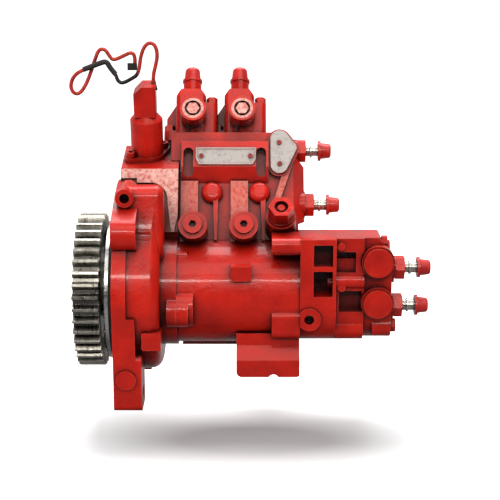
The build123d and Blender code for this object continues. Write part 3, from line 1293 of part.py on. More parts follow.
BOLT_SEAT_X = 286.0
COVER_FOOT_Z = -39.0    # height at which the cover's foot meets its end face
BEYOND = 90.0         # well clear of the castings
STACK_HEADS_X = (BOLT_SEAT_X, END_X, END_X, END_X)
with BuildPart() as gear_pump_cover:
    stack(COVER_X, PUMP_COVER_LEN, COVER_SIDE_Y)
    # its right end, seen from the front, steps back above and below
    prism(
        front(BEYOND),
        [
            (BOLT_SEAT_X - 5, STACK_TOP_Z), (BOLT_SEAT_X, STACK_TOP_Z - 6), (BOLT_SEAT_X, 51.0),
            (END_X, 46.0), (END_X + 1, 46.0), (END_X + 1, BEYOND), (BOLT_SEAT_X - 5, BEYOND),
        ],
        2 * BEYOND,
        Mode.SUBTRACT,
    )
    prism(
        front(BEYOND),
        [
            (BOLT_SEAT_X, STACK_LOW_Z),
            (END_X, COVER_FOOT_Z),
            (END_X + 1, COVER_FOOT_Z),
            (END_X + 1, -BEYOND),
            (BOLT_SEAT_X, -BEYOND),
        ],
        2 * BEYOND,
        Mode.SUBTRACT,
    )
    # the ports' bosses, each flared into the turret of a regulator cap
    for (x, y, z), (cap_x, cap_z) in zip(COVER_PORTS, (CAP_UPPER, CAP_LOWER)):
        boss(side(END_X - 4), (y, z), COVER_PORT_R, x - END_X + 4)
        with BuildSketch(front(y + COVER_PORT_R - 3)) as lobe:
            with Locations((cap_x, cap_z)):
                Circle(LOBE_R)
            with Locations((END_X, z)):
                Rectangle(6, 2 * COVER_PORT_R - 4)
            make_hull()
        extrude(lobe.sketch, amount=2 * COVER_PORT_R + 8)
        boss(front(COVER_SIDE_Y + 6), (cap_x, cap_z), TURRET_R, -CAP_FACE_Y - CAP_DISC_T + COVER_SIDE_Y + 6)
    boss(side(BOLT_SEAT_X - 10), STACK_BOLTS[2], END_EAR_R, END_X - BOLT_SEAT_X + 10)
    for x, y, z in COVER_PORTS:
        boss(side(x - 9), (y, z), 7.0, 9, Mode.SUBTRACT)
    for z in (0, PUMP_CENTRES):
        boss(side(COVER_X), (0, z), TAIL_R + RUN, 10, Mode.SUBTRACT)
    for x, z in (CAP_UPPER, CAP_LOWER):
        boss(front(REG_END_Y), (x, z), REG_BORE_R, -CAP_FACE_Y - CAP_DISC_T + REG_END_Y, Mode.SUBTRACT)
    stack_bolt_holes(COVER_X, PUMP_COVER_LEN)
    for (y, z), head_x in zip(STACK_BOLTS, STACK_HEADS_X):
        boss(side(head_x), (y, z), 8.5, 20, Mode.SUBTRACT)
save(gear_pump_cover, "gear_pump_cover")

with BuildPart() as regulator_caps:
    for spot in (CAP_UPPER, CAP_LOWER):
        boss(front(CAP_FACE_Y + CAP_DISC_T), spot, CAP_DISC_R, CAP_DISC_T)
        boss(front(CAP_FACE_Y + CAP_DISC_T + 9), spot, REG_BORE_R, 9)
save(regulator_caps, "regulator_caps")

REG_SPRING_Y = CAP_FACE_Y + CAP_DISC_T + 9
PISTON_Y = REG_END_Y - 0.5
with BuildPart() as regulator_piston:
    boss(front(PISTON_Y), CAP_UPPER, REG_BORE_R - RUN, PISTON_LEN)
    boss(front(PISTON_Y), CAP_UPPER, 3.0, 6, Mode.SUBTRACT)
save(regulator_piston, "regulator_piston")

with BuildPart() as regulator_spring:
    piston_face_y = PISTON_Y - PISTON_LEN
    coil(
        Vector(CAP_UPPER[0], piston_face_y, CAP_UPPER[1]), Vector(0, -1, 0),
        5.5, 1.0, 5, piston_face_y - REG_SPRING_Y,
    )
save(regulator_spring, "regulator_spring")

with BuildPart() as gear_pump_bolts:
    for (y, z), head_x in zip(STACK_BOLTS, STACK_HEADS_X):
        boss(side(REAR_X - 24), (y, z), STACK_BOLT_R, head_x - REAR_X + 24)
        hexagon(side(head_x), (y, z), 13.0, 6)
save(gear_pump_bolts, "gear_pump_bolts")

# ---------------------------------------------------------------- fuel fittings and their caps
PORT_SPOTS = [(x, *bank_yz(b, a)) for x, b, a in PORTS] + [tuple(port) for port in COVER_PORTS]
with BuildPart() as fuel_fittings:
    for x, y, z in PORT_SPOTS:
        hexagon(side(x), (y, z), FITTING_AF, FITTING_HEX_LEN)
        boss(side(x - 8), (y, z), 7.0, 8)
        boss(side(x + FITTING_HEX_LEN), (y, z), STEM_R, STEM_LEN)
        boss(side(x + FITTING_HEX_LEN + BEAD_AT), (y, z), BEAD_R, BEAD_W)
        boss(side(x), (y, z), STEM_BORE_R, FITTING_HEX_LEN + STEM_LEN, Mode.SUBTRACT)
save(fuel_fittings, "fuel_fittings")

for number, (x, y, z) in enumerate(PORT_SPOTS, start=1):
    with BuildPart() as fitting_cap:
        start = x + FITTING_HEX_LEN + CAP_AT
        stem_end = x + FITTING_HEX_LEN + STEM_LEN
        turn(
            lathe((0, y, z), (1, 0, 0)),
            [
                (STEM_R + CLEAR, start),
                (CAP_LIP_R, start),
                (CAP_LIP_R, start + 3),
                (CAP_LIP_R - 2.2, start + 3),
                (CAP_LIP_R - 3.4, start + FITTING_CAP_LEN - 1.5),
                (CAP_LIP_R - 5, start + FITTING_CAP_LEN),
                (0, start + FITTING_CAP_LEN),
                (0, stem_end + CLEAR),
                (STEM_R + CLEAR, stem_end + CLEAR),
            ],
        )
    save(fitting_cap, f"fitting_cap_{number}")

# ---------------------------------------------------------------- actuator
ACT_EARS = [
    (ACT_XS[0] - ACT_EAR[0], ACT_XS[1] - ACT_EAR[1]),
    (ACT_XS[0] + ACT_EAR[0], ACT_XS[1] + ACT_EAR[1]),
]
with BuildPart() as actuator_body:
    with BuildSketch(deck(DECK_C)):
        with Locations(ACT_XS):
            Circle(ACT_FLANGE_R)
        with Locations(*ACT_EARS):
            Circle(ACT_EAR_R)
        make_hull()
    extrude(amount=ACT_FLANGE_T)
    boss(deck(DECK_C), ACT_XS, ACT_R, ACT_H)
    act_line = lathe((ACT_XS[0], *deck_yz(0, ACT_XS[1])), DECK_DIR)
    turn(
        act_line,
        [
            (0, DECK_C + ACT_H),
            (ACT_R, DECK_C + ACT_H),
            (ACT_R - 1.5, DECK_C + ACT_H + 2),
            (ACT_NECK_R, DECK_C + ACT_H + ACT_NECK_H),
            (0, DECK_C + ACT_H + ACT_NECK_H),
        ],
    )
    spool_top_c = SPOOL_FLOOR_C + SPOOL_LEN + SPOOL_TRAVEL
    boss(deck(spool_top_c + 1), ACT_XS, SPOOL_R, DECK_C - spool_top_c)
    for spot in ACT_EARS:
        boss(deck(DECK_C), spot, 3.0, ACT_FLANGE_T, Mode.SUBTRACT)
save(actuator_body, "actuator_body")

with BuildPart() as actuator_screws:
    for spot in ACT_EARS:
        boss(deck(DECK_C), spot, 3.0, ACT_FLANGE_T)
        boss(deck(DECK_C + ACT_FLANGE_T), spot, 5.0, 6)
        hexagon(deck(DECK_C + ACT_FLANGE_T + 3), spot, 5.0, 3, Mode.SUBTRACT)
save(actuator_screws, "actuator_screws")

CONN_C = DECK_C + ACT_H + ACT_NECK_H
with BuildPart() as actuator_connector:
    block(deck(CONN_C), CONN_X, CONN_S, CONN_H, corner=4.0)
    x0 = CONN_X[0]
    top_c = CONN_C + CONN_H
    with BuildSketch(Plane(origin=DECK_RUN * CONN_S[0], x_dir=(1, 0, 0), z_dir=-DECK_RUN)) as bevel:
        with BuildLine():
            Polyline((x0, top_c - 9), (x0 + 9, top_c), (x0, top_c), close=True)
        make_face()
    extrude(bevel.sketch, amount=CONN_S[0] - CONN_S[1], mode=Mode.SUBTRACT)
    x, y, z = WIRE_POINTS[0]
    boss(Plane.XY.offset(z), (x, y), WIRE_R, 20, Mode.SUBTRACT)
save(actuator_connector, "actuator_connector")

# ---------------------------------------------------------------- pigtail cord and its plug
def bends(points):
    """One radius per inner point: the bend may take a fixed share of the shorter run."""
    radii = []
    for before, here, after in zip(points, points[1:], points[2:]):
        run_in = Vector(*here) - Vector(*before)
        run_out = Vector(*after) - Vector(*here)
        half_turn = radians(run_in.get_angle(run_out)) / 2
        radii.append(WIRE_TRIM * min(run_in.length, run_out.length) / tan(half_turn))
    return radii


wire_radii = bends(WIRE_POINTS)
with BuildPart() as pigtail_cord:
    with BuildLine() as wire_path:
        FilletPolyline(*WIRE_POINTS, radius=wire_radii)
    with BuildSketch(Plane(origin=wire_path.line @ 0, z_dir=wire_path.line % 0)) as wire_section:
        Circle(WIRE_R)
    sweep(wire_section.sketch, path=wire_path.line)
save(pigtail_cord, "pigtail_cord")
print("cord radii", [round(r, 2) for r in wire_radii])
wire_length = wire_path.wire().length
print("cord length", round(wire_length, 1), "volume", round(pigtail_cord.part.volume, 1))
print("section x length", round(pi * WIRE_R**2 * wire_length, 1))

with BuildPart() as pigtail_plug:
    block(Plane.XY.offset(PLUG_Z[0]), PLUG_X, PLUG_Y, PLUG_Z[1] - PLUG_Z[0], corner=1.5)
    entry = Vector(*WIRE_POINTS[-1])
    leave = Vector(*WIRE_POINTS[-2]) - entry
    boss(Plane(origin=entry, z_dir=leave.normalized()), (0, 0), WIRE_R, 8, Mode.SUBTRACT)
save(pigtail_plug, "pigtail_plug")

with BuildPart() as metering_spool:
    boss(deck(SPOOL_FLOOR_C + 0.5), ACT_XS, SPOOL_R - RUN, SPOOL_LEN)
    with BuildSketch(deck(SPOOL_FLOOR_C + 10)):
        with Locations(ACT_XS):
            Circle(SPOOL_R)
            Circle(SPOOL_R - 2, mode=Mode.SUBTRACT)
    extrude(amount=7, mode=Mode.SUBTRACT)
save(metering_spool, "metering_spool")
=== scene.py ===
import json
import math

import bpy
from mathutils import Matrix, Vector


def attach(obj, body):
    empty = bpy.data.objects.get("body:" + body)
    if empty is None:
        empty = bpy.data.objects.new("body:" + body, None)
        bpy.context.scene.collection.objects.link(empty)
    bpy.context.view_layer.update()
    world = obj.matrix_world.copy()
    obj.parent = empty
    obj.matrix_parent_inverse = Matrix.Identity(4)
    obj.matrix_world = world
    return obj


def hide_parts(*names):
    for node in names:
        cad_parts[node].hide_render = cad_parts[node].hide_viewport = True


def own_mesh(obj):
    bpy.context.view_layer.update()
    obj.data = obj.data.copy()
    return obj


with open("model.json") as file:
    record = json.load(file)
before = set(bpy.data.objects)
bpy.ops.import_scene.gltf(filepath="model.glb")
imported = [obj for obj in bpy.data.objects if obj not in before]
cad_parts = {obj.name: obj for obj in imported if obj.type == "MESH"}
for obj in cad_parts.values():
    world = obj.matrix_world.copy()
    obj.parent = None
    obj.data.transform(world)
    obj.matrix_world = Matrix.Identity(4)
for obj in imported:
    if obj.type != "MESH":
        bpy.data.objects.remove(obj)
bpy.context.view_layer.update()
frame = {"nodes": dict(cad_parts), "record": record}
nodes = frame["nodes"]
scene = bpy.context.scene
scene.view_settings.view_transform = "Standard"

MM = 0.001
BANK_LEAN = math.radians(30)
BANK_NORMAL = (0, -math.cos(BANK_LEAN), math.sin(BANK_LEAN))


# ---------------------------------------------------------------- camera
CAMERA_TILT = math.radians(14)
CAMERA_AIM = (144.7, 0, 44.3)    # mm
CAMERA_AWAY = 1.4                # m
CAMERA_LENS = 91.6               # mm, on a sensor of SENSOR_WIDTH
SENSOR_WIDTH = 36
CLIP_END = 20


def set_camera():
    """The view of the photograph: square to the shaft and from a little above."""
    aim = Vector(CAMERA_AIM) * MM
    cam_data = bpy.data.cameras.new("camera")
    cam_data.lens = CAMERA_LENS
    cam_data.sensor_width = SENSOR_WIDTH
    cam_data.clip_end = CLIP_END
    cam = bpy.data.objects.new("camera", cam_data)
    scene.collection.objects.link(cam)
    cam.location = aim - Vector((0, math.cos(CAMERA_TILT), -math.sin(CAMERA_TILT))) * CAMERA_AWAY
    cam.rotation_euler = (math.pi / 2 - CAMERA_TILT, 0, 0)
    scene.camera = cam


set_camera()


# ---------------------------------------------------------------- material kit
EDGE_DOTS = (0.995, 0.9)       # true normal on rounded normal: where an edge begins, and where it is full
SQUARE_DOTS = (0.985, 0.998)   # normal on a direction: where a face begins to count as square, and does
PLANE_BLUR = 0.5               # mm


def link(tree, out, socket):
    tree.links.new(out, socket)


def shaded(colour, share):
    """The colour darkened to a share of itself."""
    return tuple(c * share for c in colour)


def new_material(name):
    """A material with its shader and object coordinates in metres."""
    mat = bpy.data.materials.new(name)
    mat.use_nodes = True
    tree = mat.node_tree
    shader = tree.nodes["Principled BSDF"]
    coords = tree.nodes.new("ShaderNodeTexCoord")
    return mat, tree, shader, coords.outputs["Object"]


def coordinates(tree):
    return next(node for node in tree.nodes if node.bl_idname == "ShaderNodeTexCoord")


def noise(tree, where, scale, detail, rough):
    node = tree.nodes.new("ShaderNodeTexNoise")
    node.inputs["Scale"].default_value = scale
    node.inputs["Detail"].default_value = detail
    node.inputs["Roughness"].default_value = rough
    link(tree, where, node.inputs["Vector"])
    return node.outputs["Fac"]


def ramp(tree, value, stops):
    """Colour ramp from (position, colour) stops."""
    node = tree.nodes.new("ShaderNodeValToRGB")
    marks = node.color_ramp.elements
    while len(marks) < len(stops):
        marks.new(0.5)
    for mark, (place, colour) in zip(marks, stops):
        mark.position = place
        mark.color = (*colour, 1)
    link(tree, value, node.inputs["Fac"])
    return node.outputs["Color"]


def mapped(tree, value, low, high, to_low, to_high):
    """The value carried from low..high to to_low..to_high, and held at both ends."""
    node = tree.nodes.new("ShaderNodeMapRange")
    node.inputs["From Min"].default_value = low
    node.inputs["From Max"].default_value = high
    node.inputs["To Min"].default_value = to_low
    node.inputs["To Max"].default_value = to_high
    link(tree, value, node.inputs["Value"])
    return node.outputs["Result"]


def mix(tree, share, first, second):
    """Mix of two colours by a share between 0 and 1; a colour may be a socket or a tuple."""
    node = tree.nodes.new("ShaderNodeMix")
    node.data_type = "RGBA"
    link(tree, share, node.inputs["Factor"])
    for value, socket in ((first, node.inputs[6]), (second, node.inputs[7])):
        if isinstance(value, tuple):
            socket.default_value = (*value, 1)
        else:
            link(tree, value, socket)
    return node.outputs[2]


def bump(tree, shader, height, strength, distance, before=None):
    node = tree.nodes.new("ShaderNodeBump")
    node.inputs["Strength"].default_value = strength
    node.inputs["Distance"].default_value = distance
    link(tree, height, node.inputs["Height"])
    if before is not None:
        link(tree, before, node.inputs["Normal"])
    link(tree, node.outputs["Normal"], shader.inputs["Normal"])
    return node.outputs["Normal"]


def cavity(tree, distance):
    """Ambient occlusion as a value: 1 on open faces, 0 deep in corners."""
    node = tree.nodes.new("ShaderNodeAmbientOcclusion")
    node.inputs["Distance"].default_value = distance
    node.samples = 6
    return node.outputs["AO"]


def corner_shade(tree, body, reach, shut, clear, most, colour):
    """Painted shade of a colour in corners: most of it at an openness of shut, none of it at clear."""
    return mix(tree, mapped(tree, cavity(tree, reach), shut, clear, most, 0.0), body, colour)


def vary_roughness(tree, shader, value, low, high):
    link(tree, mapped(tree, value, 0.3, 0.7, low, high), shader.inputs["Roughness"])


def pick(tree, mask, first, second):
    """Mix of two numbers, sockets or plain, by a mask between 0 and 1."""
    node = tree.nodes.new("ShaderNodeMix")
    link(tree, mask, node.inputs["Factor"])
    for value, socket in ((first, node.inputs[2]), (second, node.inputs[3])):
        if isinstance(value, (int, float)):
            socket.default_value = value
        else:
            link(tree, value, socket)
    return node.outputs[0]


def both(tree, first, second):
    """Product of two masks."""
    node = tree.nodes.new("ShaderNodeMath")
    node.operation = "MULTIPLY"
    link(tree, first, node.inputs[0])
    link(tree, second, node.inputs[1])
    return node.outputs[0]


def along(tree, where, direction):
    """Distance of a point, or share of a normal, along a direction."""
    node = tree.nodes.new("ShaderNodeVectorMath")
    node.operation = "DOT_PRODUCT"
    link(tree, where, node.inputs[0])
    node.inputs[1].default_value = direction
    return node.outputs["Value"]


def edges(tree, radius):
    """1 on sharp edges, 0 on flat faces."""
    rounded = tree.nodes.new("ShaderNodeBevel")
    rounded.samples = 4
    rounded.inputs["Radius"].default_value = radius
    flat = tree.nodes.new("ShaderNodeNewGeometry")
    node = tree.nodes.new("ShaderNodeVectorMath")
    node.operation = "DOT_PRODUCT"
    link(tree, rounded.outputs["Normal"], node.inputs[0])
    link(tree, flat.outputs["Normal"], node.inputs[1])
    return mapped(tree, node.outputs["Value"], *EDGE_DOTS, 0.0, 1.0)


def paint(name, colour, deep, rough=0.34, grain=1.0, faces=None, planes=()):
    """Glossy paint over cast metal: sand-cast grain, painted shade in corners, and edges painted lighter,
    part wear and part painted highlight.
    faces is a colour of painted reflection, a pinkish sheen on the machined faces that lie square to the
    bank's normal, only between these distances along it, in mm, if planes are given."""
    mat, tree, shader, where = new_material(name)
    cloud = noise(tree, where, 30, 5, 0.6)
    body = ramp(tree, cloud, [(0.3, deep), (0.62, colour)])
    # edges painted lighter in patches: part rubbed paint, part painted highlight
    sharp = edges(tree, 0.0011)
    patchy = mapped(tree, noise(tree, where, 70, 3, 0.6), 0.4, 0.62, 0.0, 0.55)
    body = mix(tree, both(tree, sharp, patchy), body, EDGE_WEAR_AND_GLINT)
    # painted reflection on the faces square to the bank's normal, broken into patches
    if faces:
        facing = along(tree, coordinates(tree).outputs["Normal"], BANK_NORMAL)
        square = mapped(tree, facing, *SQUARE_DOTS, 0.0, 1.0)
        for low, high in planes:
            depth = along(tree, where, BANK_NORMAL)
            square = both(tree, square, mapped(tree, depth, low * MM, (low + PLANE_BLUR) * MM, 0.0, 1.0))
            square = both(tree, square, mapped(tree, depth, (high - PLANE_BLUR) * MM, high * MM, 1.0, 0.0))
        reflected = both(tree, square, mapped(tree, noise(tree, where, 240, 6, 0.75), 0.36, 0.56, 0.1, 0.95))
        body = mix(tree, reflected, body, faces)
    # painted shade in corners and creases, a wide reach and a narrow one
    body = corner_shade(tree, body, 0.024, 0.35, 0.95, 1.0, CREVICE_SHADE)
    body = corner_shade(tree, body, 0.004, 0.35, 0.85, 0.75, CREVICE_SHADE)
    link(tree, body, shader.inputs["Base Color"])
    vary_roughness(tree, shader, noise(tree, where, 60, 3, 0.5), rough - 0.08, rough + 0.12)
    wave = bump(tree, shader, noise(tree, where, 95, 3, 0.5), 0.35 * grain, 0.002)
    cast = bump(tree, shader, noise(tree, where, 420, 4, 0.55), 0.4 * grain, 0.0007, wave)
    bump(tree, shader, noise(tree, where, 1300, 2, 0.5), 0.14 * grain, 0.0003, cast)
    shader.inputs["Specular IOR Level"].default_value = 0.2
    shader.inputs["Coat Weight"].default_value = 0.25
    shader.inputs["Coat Roughness"].default_value = 0.1
    return mat


def metal(name, colour, rough, deep=0.7, brush=(1, 1, 1), shade_share=0.18, reach=0.006):
    """Machined metal with fine marks; brush gives the scale of its lay along x, y and z."""
    mat, tree, shader, where = new_material(name)
    stretch = tree.nodes.new("ShaderNodeMapping")
    stretch.inputs["Scale"].default_value = brush
    link(tree, where, stretch.inputs["Vector"])
    lay = noise(tree, stretch.outputs["Vector"], 300, 4, 0.6)
    body = ramp(tree, lay, [(0.3, shaded(colour, deep)), (0.7, colour)])
    stain = mapped(tree, noise(tree, where, 45, 4, 0.6), 0.5, 0.75, 0.0, 0.5)
    body = mix(tree, stain, body, shaded(colour, 0.45))
    # painted shade in corners, darkened to a share of the colour
    body = corner_shade(tree, body, reach, 0.3, 0.9, 1.0, shaded(colour, shade_share))
    link(tree, body, shader.inputs["Base Color"])
    vary_roughness(tree, shader, lay, rough - 0.07, rough + 0.1)
    bump(tree, shader, lay, 0.12, 0.0004)
    shader.inputs["Metallic"].default_value = 1.0
    return mat


def satin(name, colour, tint, rough):
    """Bare aluminium plate, matt with age, with traces of the paint round its edges."""
    mat, tree, shader, where = new_material(name)
    cloud = noise(tree, where, 160, 6, 0.7)
    body = ramp(tree, cloud, [(0.32, shaded(colour, 0.55)), (0.5, colour)])
    fleck = mapped(tree, noise(tree, where, 620, 3, 0.6), 0.56, 0.68, 0.0, 0.5)
    body = mix(tree, fleck, body, shaded(colour, 0.3))
    body = mix(tree, both(tree, edges(tree, 0.002), cloud), body, tint)
    # painted shade in corners and creases
    body = corner_shade(tree, body, 0.005, 0.35, 0.9, 1.0, CREVICE_SHADE)
    link(tree, body, shader.inputs["Base Color"])
    vary_roughness(tree, shader, cloud, rough - 0.08, rough + 0.12)
    bump(tree, shader, cloud, 0.12, 0.0004)
    shader.inputs["Metallic"].default_value = 0.35
    return mat


def plastic(name, colour, rough, coat=0.0):
    """Moulded plastic or rubber with a faint texture."""
    mat, tree, shader, where = new_material(name)
    cloud = noise(tree, where, 90, 3, 0.5)
    body = ramp(tree, cloud, [(0.3, shaded(colour, 0.7)), (0.65, colour)])
    # painted shade in corners and creases
    body = corner_shade(tree, body, 0.008, 0.3, 0.85, 0.85, shaded(colour, 0.12))
    link(tree, body, shader.inputs["Base Color"])
    vary_roughness(tree, shader, cloud, rough - 0.05, rough + 0.1)
    bump(tree, shader, noise(tree, where, 700, 3, 0.5), 0.15, 0.0003)
    shader.inputs["Specular IOR Level"].default_value = 0.35
    shader.inputs["Coat Weight"].default_value = coat
    return mat


def painted_fitting(name):
    """Plated stems whose hexes took the red paint of the casting that they sit in."""
    mat, tree, shader, where = new_material(name)
    lay = noise(tree, where, 260, 4, 0.6)
    bare = ramp(tree, lay, [(0.3, PLATING_DULL), (0.6, PLATING)])
    height = along(tree, where, (0, 0, 1))
    end = HEX_ENDS[0][1] * MM
    for floor_z, end_x in HEX_ENDS[1:]:
        above = mapped(tree, height, floor_z * MM, (floor_z + 1) * MM, 0.0, 1.0)
        end = pick(tree, above, end, end_x * MM)
    beyond = tree.nodes.new("ShaderNodeMath")
    beyond.operation = "SUBTRACT"
    link(tree, along(tree, where, (1, 0, 0)), beyond.inputs[0])
    link(tree, end, beyond.inputs[1])
    red_mask = mapped(tree, beyond.outputs[0], 0.0, PAINT_FADE, 1.0, 0.0)
    body = mix(tree, red_mask, bare, RED)
    # painted shade in corners and creases
    body = corner_shade(tree, body, 0.006, 0.35, 0.9, 1.0, FITTING_SHADE)
    link(tree, body, shader.inputs["Base Color"])
    link(tree, pick(tree, red_mask, 0.95, 0.0), shader.inputs["Metallic"])
    vary_roughness(tree, shader, lay, 0.22, 0.4)
    bump(tree, shader, lay, 0.15, 0.0004)
    return mat


def sleeving(name, colour):
    """Red sleeve of the pigtail, black within a range of height and of place along the shaft."""
    mat, tree, shader, where = new_material(name)
    cloud = noise(tree, where, 160, 3, 0.5)
    body = ramp(tree, cloud, [(0.3, shaded(colour, 0.6)), (0.65, colour)])
    low = mapped(tree, along(tree, where, (0, 0, 1)), *BLACK_TOP, 1.0, 0.0)
    right = mapped(tree, along(tree, where, (1, 0, 0)), *BLACK_FROM, 0.0, 1.0)
    left = mapped(tree, along(tree, where, (1, 0, 0)), *BLACK_TO, 1.0, 0.0)
    black_mask = both(tree, low, both(tree, right, left))
    # painted shade in corners and where the sleeve meets other parts
    body = corner_shade(tree, body, 0.01, 0.45, 0.9, 0.9, shaded(colour, 0.1))
    link(tree, mix(tree, black_mask, body, SLEEVE_BLACK), shader.inputs["Base Color"])
    vary_roughness(tree, shader, cloud, 0.38, 0.52)
    bump(tree, shader, noise(tree, where, 900, 2, 0.5), 0.25, 0.0003)
    shader.inputs["Specular IOR Level"].default_value = 0.35
    return mat


RED = (0.56, 0.012, 0.004)
RED_DEEP = (0.36, 0.008, 0.004)
# edge colour, part wear and part painted highlight
EDGE_WEAR_AND_GLINT = (0.72, 0.16, 0.11)
# painted shade colour for corners and creases
CREVICE_SHADE = (0.035, 0.0015, 0.001)
# painted reflection colours for faces square to the bank's normal
FACE_REFLECTION = (0.72, 0.42, 0.36)
COLUMN_REFLECTION = (0.6, 0.16, 0.12)
PLATING = (0.66, 0.65, 0.6)
PLATING_DULL = (0.34, 0.33, 0.28)
# painted shade colour for the fittings' corners
FITTING_SHADE = (0.02, 0.012, 0.01)
PAINT_FADE = 0.0008         # m, past the end of a painted hex
SLEEVE_BLACK = (0.006, 0.006, 0.006)
BLACK_TOP = (0.2365, 0.2395)    # height over which the sleeve's black ends, m
BLACK_FROM = (-0.005, -0.001)   # place along the shaft over which it begins
BLACK_TO = (0.0215, 0.0235)     # and over which it ends
COLUMN_B = 39    # distance of the columns' flat faces from the shaft along the bank's normal, mm
FACING_B = 50    # the same for the flat facing on the front housing
# height from which each fitting is met, and the x at which its painted hex ends, in mm
HEX_ENDS = ((-40.0, 310.5), (10.0, 312.0), (58.0, 216.0), (115.0, 207.5))
red = paint("red_paint", RED, RED_DEEP)
red_smooth = paint("red_paint_smooth", RED, RED_DEEP, 0.26, 0.5)
red_dark = paint("red_paint_screws", (0.3, 0.012, 0.008), (0.12, 0.004, 0.003), 0.4)
# paint with a painted reflection on faces square to the bank's normal
red_faced = paint("red_paint_reflecting_faces", RED, RED_DEEP, 0.3, 0.8, FACE_REFLECTION)
FACING_PLANES = ((FACING_B - 1, FACING_B + 1),)
COLUMN_PLANES = ((COLUMN_B - 1, COLUMN_B + 1),)
# painted reflection only on the front housing's flat facing and on the columns' flats
red_front = paint("red_paint_front", RED, RED_DEEP, faces=FACE_REFLECTION, planes=FACING_PLANES)
red_bank = paint("red_paint_bank", RED, RED_DEEP, faces=COLUMN_REFLECTION, planes=COLUMN_PLANES)
red_cap = plastic("red_cap_plastic", (0.52, 0.016, 0.012), 0.36, coat=0.15)
red_wire = sleeving("red_sleeve", (0.5, 0.03, 0.018))
steel = metal("machined_steel", (0.55, 0.54, 0.5), 0.34)
gear_steel = metal("gear_steel", (0.62, 0.6, 0.53), 0.3, 0.5, (1, 0.15, 0.15), shade_share=0.01, reach=0.011)
dark_steel = metal("dark_steel", (0.16, 0.155, 0.15), 0.42)
aluminium = metal("turned_aluminium", (0.7, 0.71, 0.7), 0.28, 0.8)
plate = satin("plate_aluminium", (0.4, 0.375, 0.36), (0.5, 0.12, 0.09), 0.45)
bronze = metal("bearing_bronze", (0.5, 0.33, 0.15), 0.4)
fitting_steel = painted_fitting("plated_fittings")
rubber = plastic("black_rubber", (0.02, 0.02, 0.02), 0.6)
black = plastic("black_plastic", (0.015, 0.015, 0.015), 0.45)

SLOT_MATERIAL = {
    "red_paint": red,
    "red_plastic": red_cap,
    "red_gloss_plastic": red_smooth,
    "red_sleeving": red_wire,
    "bright_steel": steel,
    "dark_steel": dark_steel,
    "pale_aluminium": aluminium,
    "bare_aluminium": plate,
    "black_rubber": rubber,
    "black_plastic": black,
    "bronze": bronze,
}
OWN_MATERIAL = {
    "drive_gear": gear_steel,
    "delivery_head_1": red_smooth,
    "delivery_head_2": red_smooth,
    "check_valve_plugs": red_faced,
    "front_housing": red_front,
    "pump_housing": red_bank,
    "front_housing_screws": red,
    "fuel_fittings": fitting_steel,
    "plate_screws": red_dark,
}
SOFT_EDGES = {    # width of the rounded edge, mm
    "pump_housing": 1.6,
    "front_housing": 1.8,
    "rear_housing": 1.2,
    "gear_pump_body": 1.2,
    "gear_pump_cover": 1.6,
    "regulator_caps": 0.8,
    "delivery_head_1": 1.2,
    "delivery_head_2": 1.2,
    "actuator_body": 0.9,
    "actuator_connector": 1.6,
    "head_bolts": 0.7,
    "gear_pump_bolts": 0.7,
    "overflow_valve": 0.8,
    "check_valve_plugs": 0.6,
    "gallery_plugs": 0.8,
    "cover_plate": 0.7,
    "nameplate": 0.3,
    "drive_gear": 0.35,
    "fuel_fittings": 0.4,
}


SMOOTH_ANGLE = 32         # degrees
WELD_REACH = 0.00001      # m


def make_smoother():
    """Modifier group that drops the carried-over normals and shades smooth up to an edge angle."""
    group = bpy.data.node_groups.new("smooth_by_angle", "GeometryNodeTree")
    group.interface.new_socket("Geometry", in_out="INPUT", socket_type="NodeSocketGeometry")
    group.interface.new_socket("Geometry", in_out="OUTPUT", socket_type="NodeSocketGeometry")
    start = group.nodes.new("NodeGroupInput")
    end = group.nodes.new("NodeGroupOutput")
    drop = group.nodes.new("GeometryNodeRemoveAttribute")
    drop.inputs["Name"].default_value = "custom_normal"
    angle = group.nodes.new("GeometryNodeInputMeshEdgeAngle")
    flat_enough = group.nodes.new("FunctionNodeCompare")
    flat_enough.data_type = "FLOAT"
    flat_enough.operation = "LESS_THAN"
    flat_enough.inputs[1].default_value = math.radians(SMOOTH_ANGLE)
    faces = group.nodes.new("GeometryNodeSetShadeSmooth")
    faces.domain = "FACE"
    edges_too = group.nodes.new("GeometryNodeSetShadeSmooth")
    edges_too.domain = "EDGE"
    group.links.new(start.outputs[0], drop.inputs["Geometry"])
    group.links.new(drop.outputs["Geometry"], faces.inputs["Geometry"])
    group.links.new(faces.outputs["Geometry"], edges_too.inputs["Geometry"])
    group.links.new(angle.outputs["Unsigned Angle"], flat_enough.inputs[0])
    group.links.new(flat_enough.outputs[0], edges_too.inputs["Shade Smooth"])
    group.links.new(edges_too.outputs["Geometry"], end.inputs[0])
    return group


smoother = make_smoother()


def soften(obj, width):
    """Rounded edges on a carried-over solid."""
    weld = obj.modifiers.new("weld", "WELD")
    weld.merge_threshold = WELD_REACH
    obj.modifiers.new("smooth", "NODES").node_group = smoother
    bevel = obj.modifiers.new("soft_edges", "BEVEL")
    bevel.width = width * MM
    bevel.segments = 3
    bevel.limit_method = "ANGLE"
    bevel.angle_limit = math.radians(SMOOTH_ANGLE)
    bevel.harden_normals = True
    bevel.use_clamp_overlap = True


for entry in frame["record"]["subparts"]:
    node = nodes[entry["node"]]
    mat = OWN_MATERIAL.get(entry["node"], SLOT_MATERIAL[entry["material_slot"]])
    node.data.materials.clear()
    node.data.materials.append(mat)
    if entry["node"] in SOFT_EDGES:
        soften(node, SOFT_EDGES[entry["node"]])

# ---------------------------------------------------------------- springs as own pieces
PUMP_LINES_X = (78, 133)          # mm, as are the values below


def live_spring(name):
    """The node's own coil as a separate piece on the pump body, with the node hidden."""
    coil = bpy.data.objects.new(name + "_coil", nodes[name].data.copy())
    scene.collection.objects.link(coil)
    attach(coil, "pump")
    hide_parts(name)
    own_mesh(coil)


for number, line_x in enumerate(PUMP_LINES_X, 1):
    live_spring(
        f"tappet_spring_{number}",
    )
live_spring(
    "regulator_spring",
)

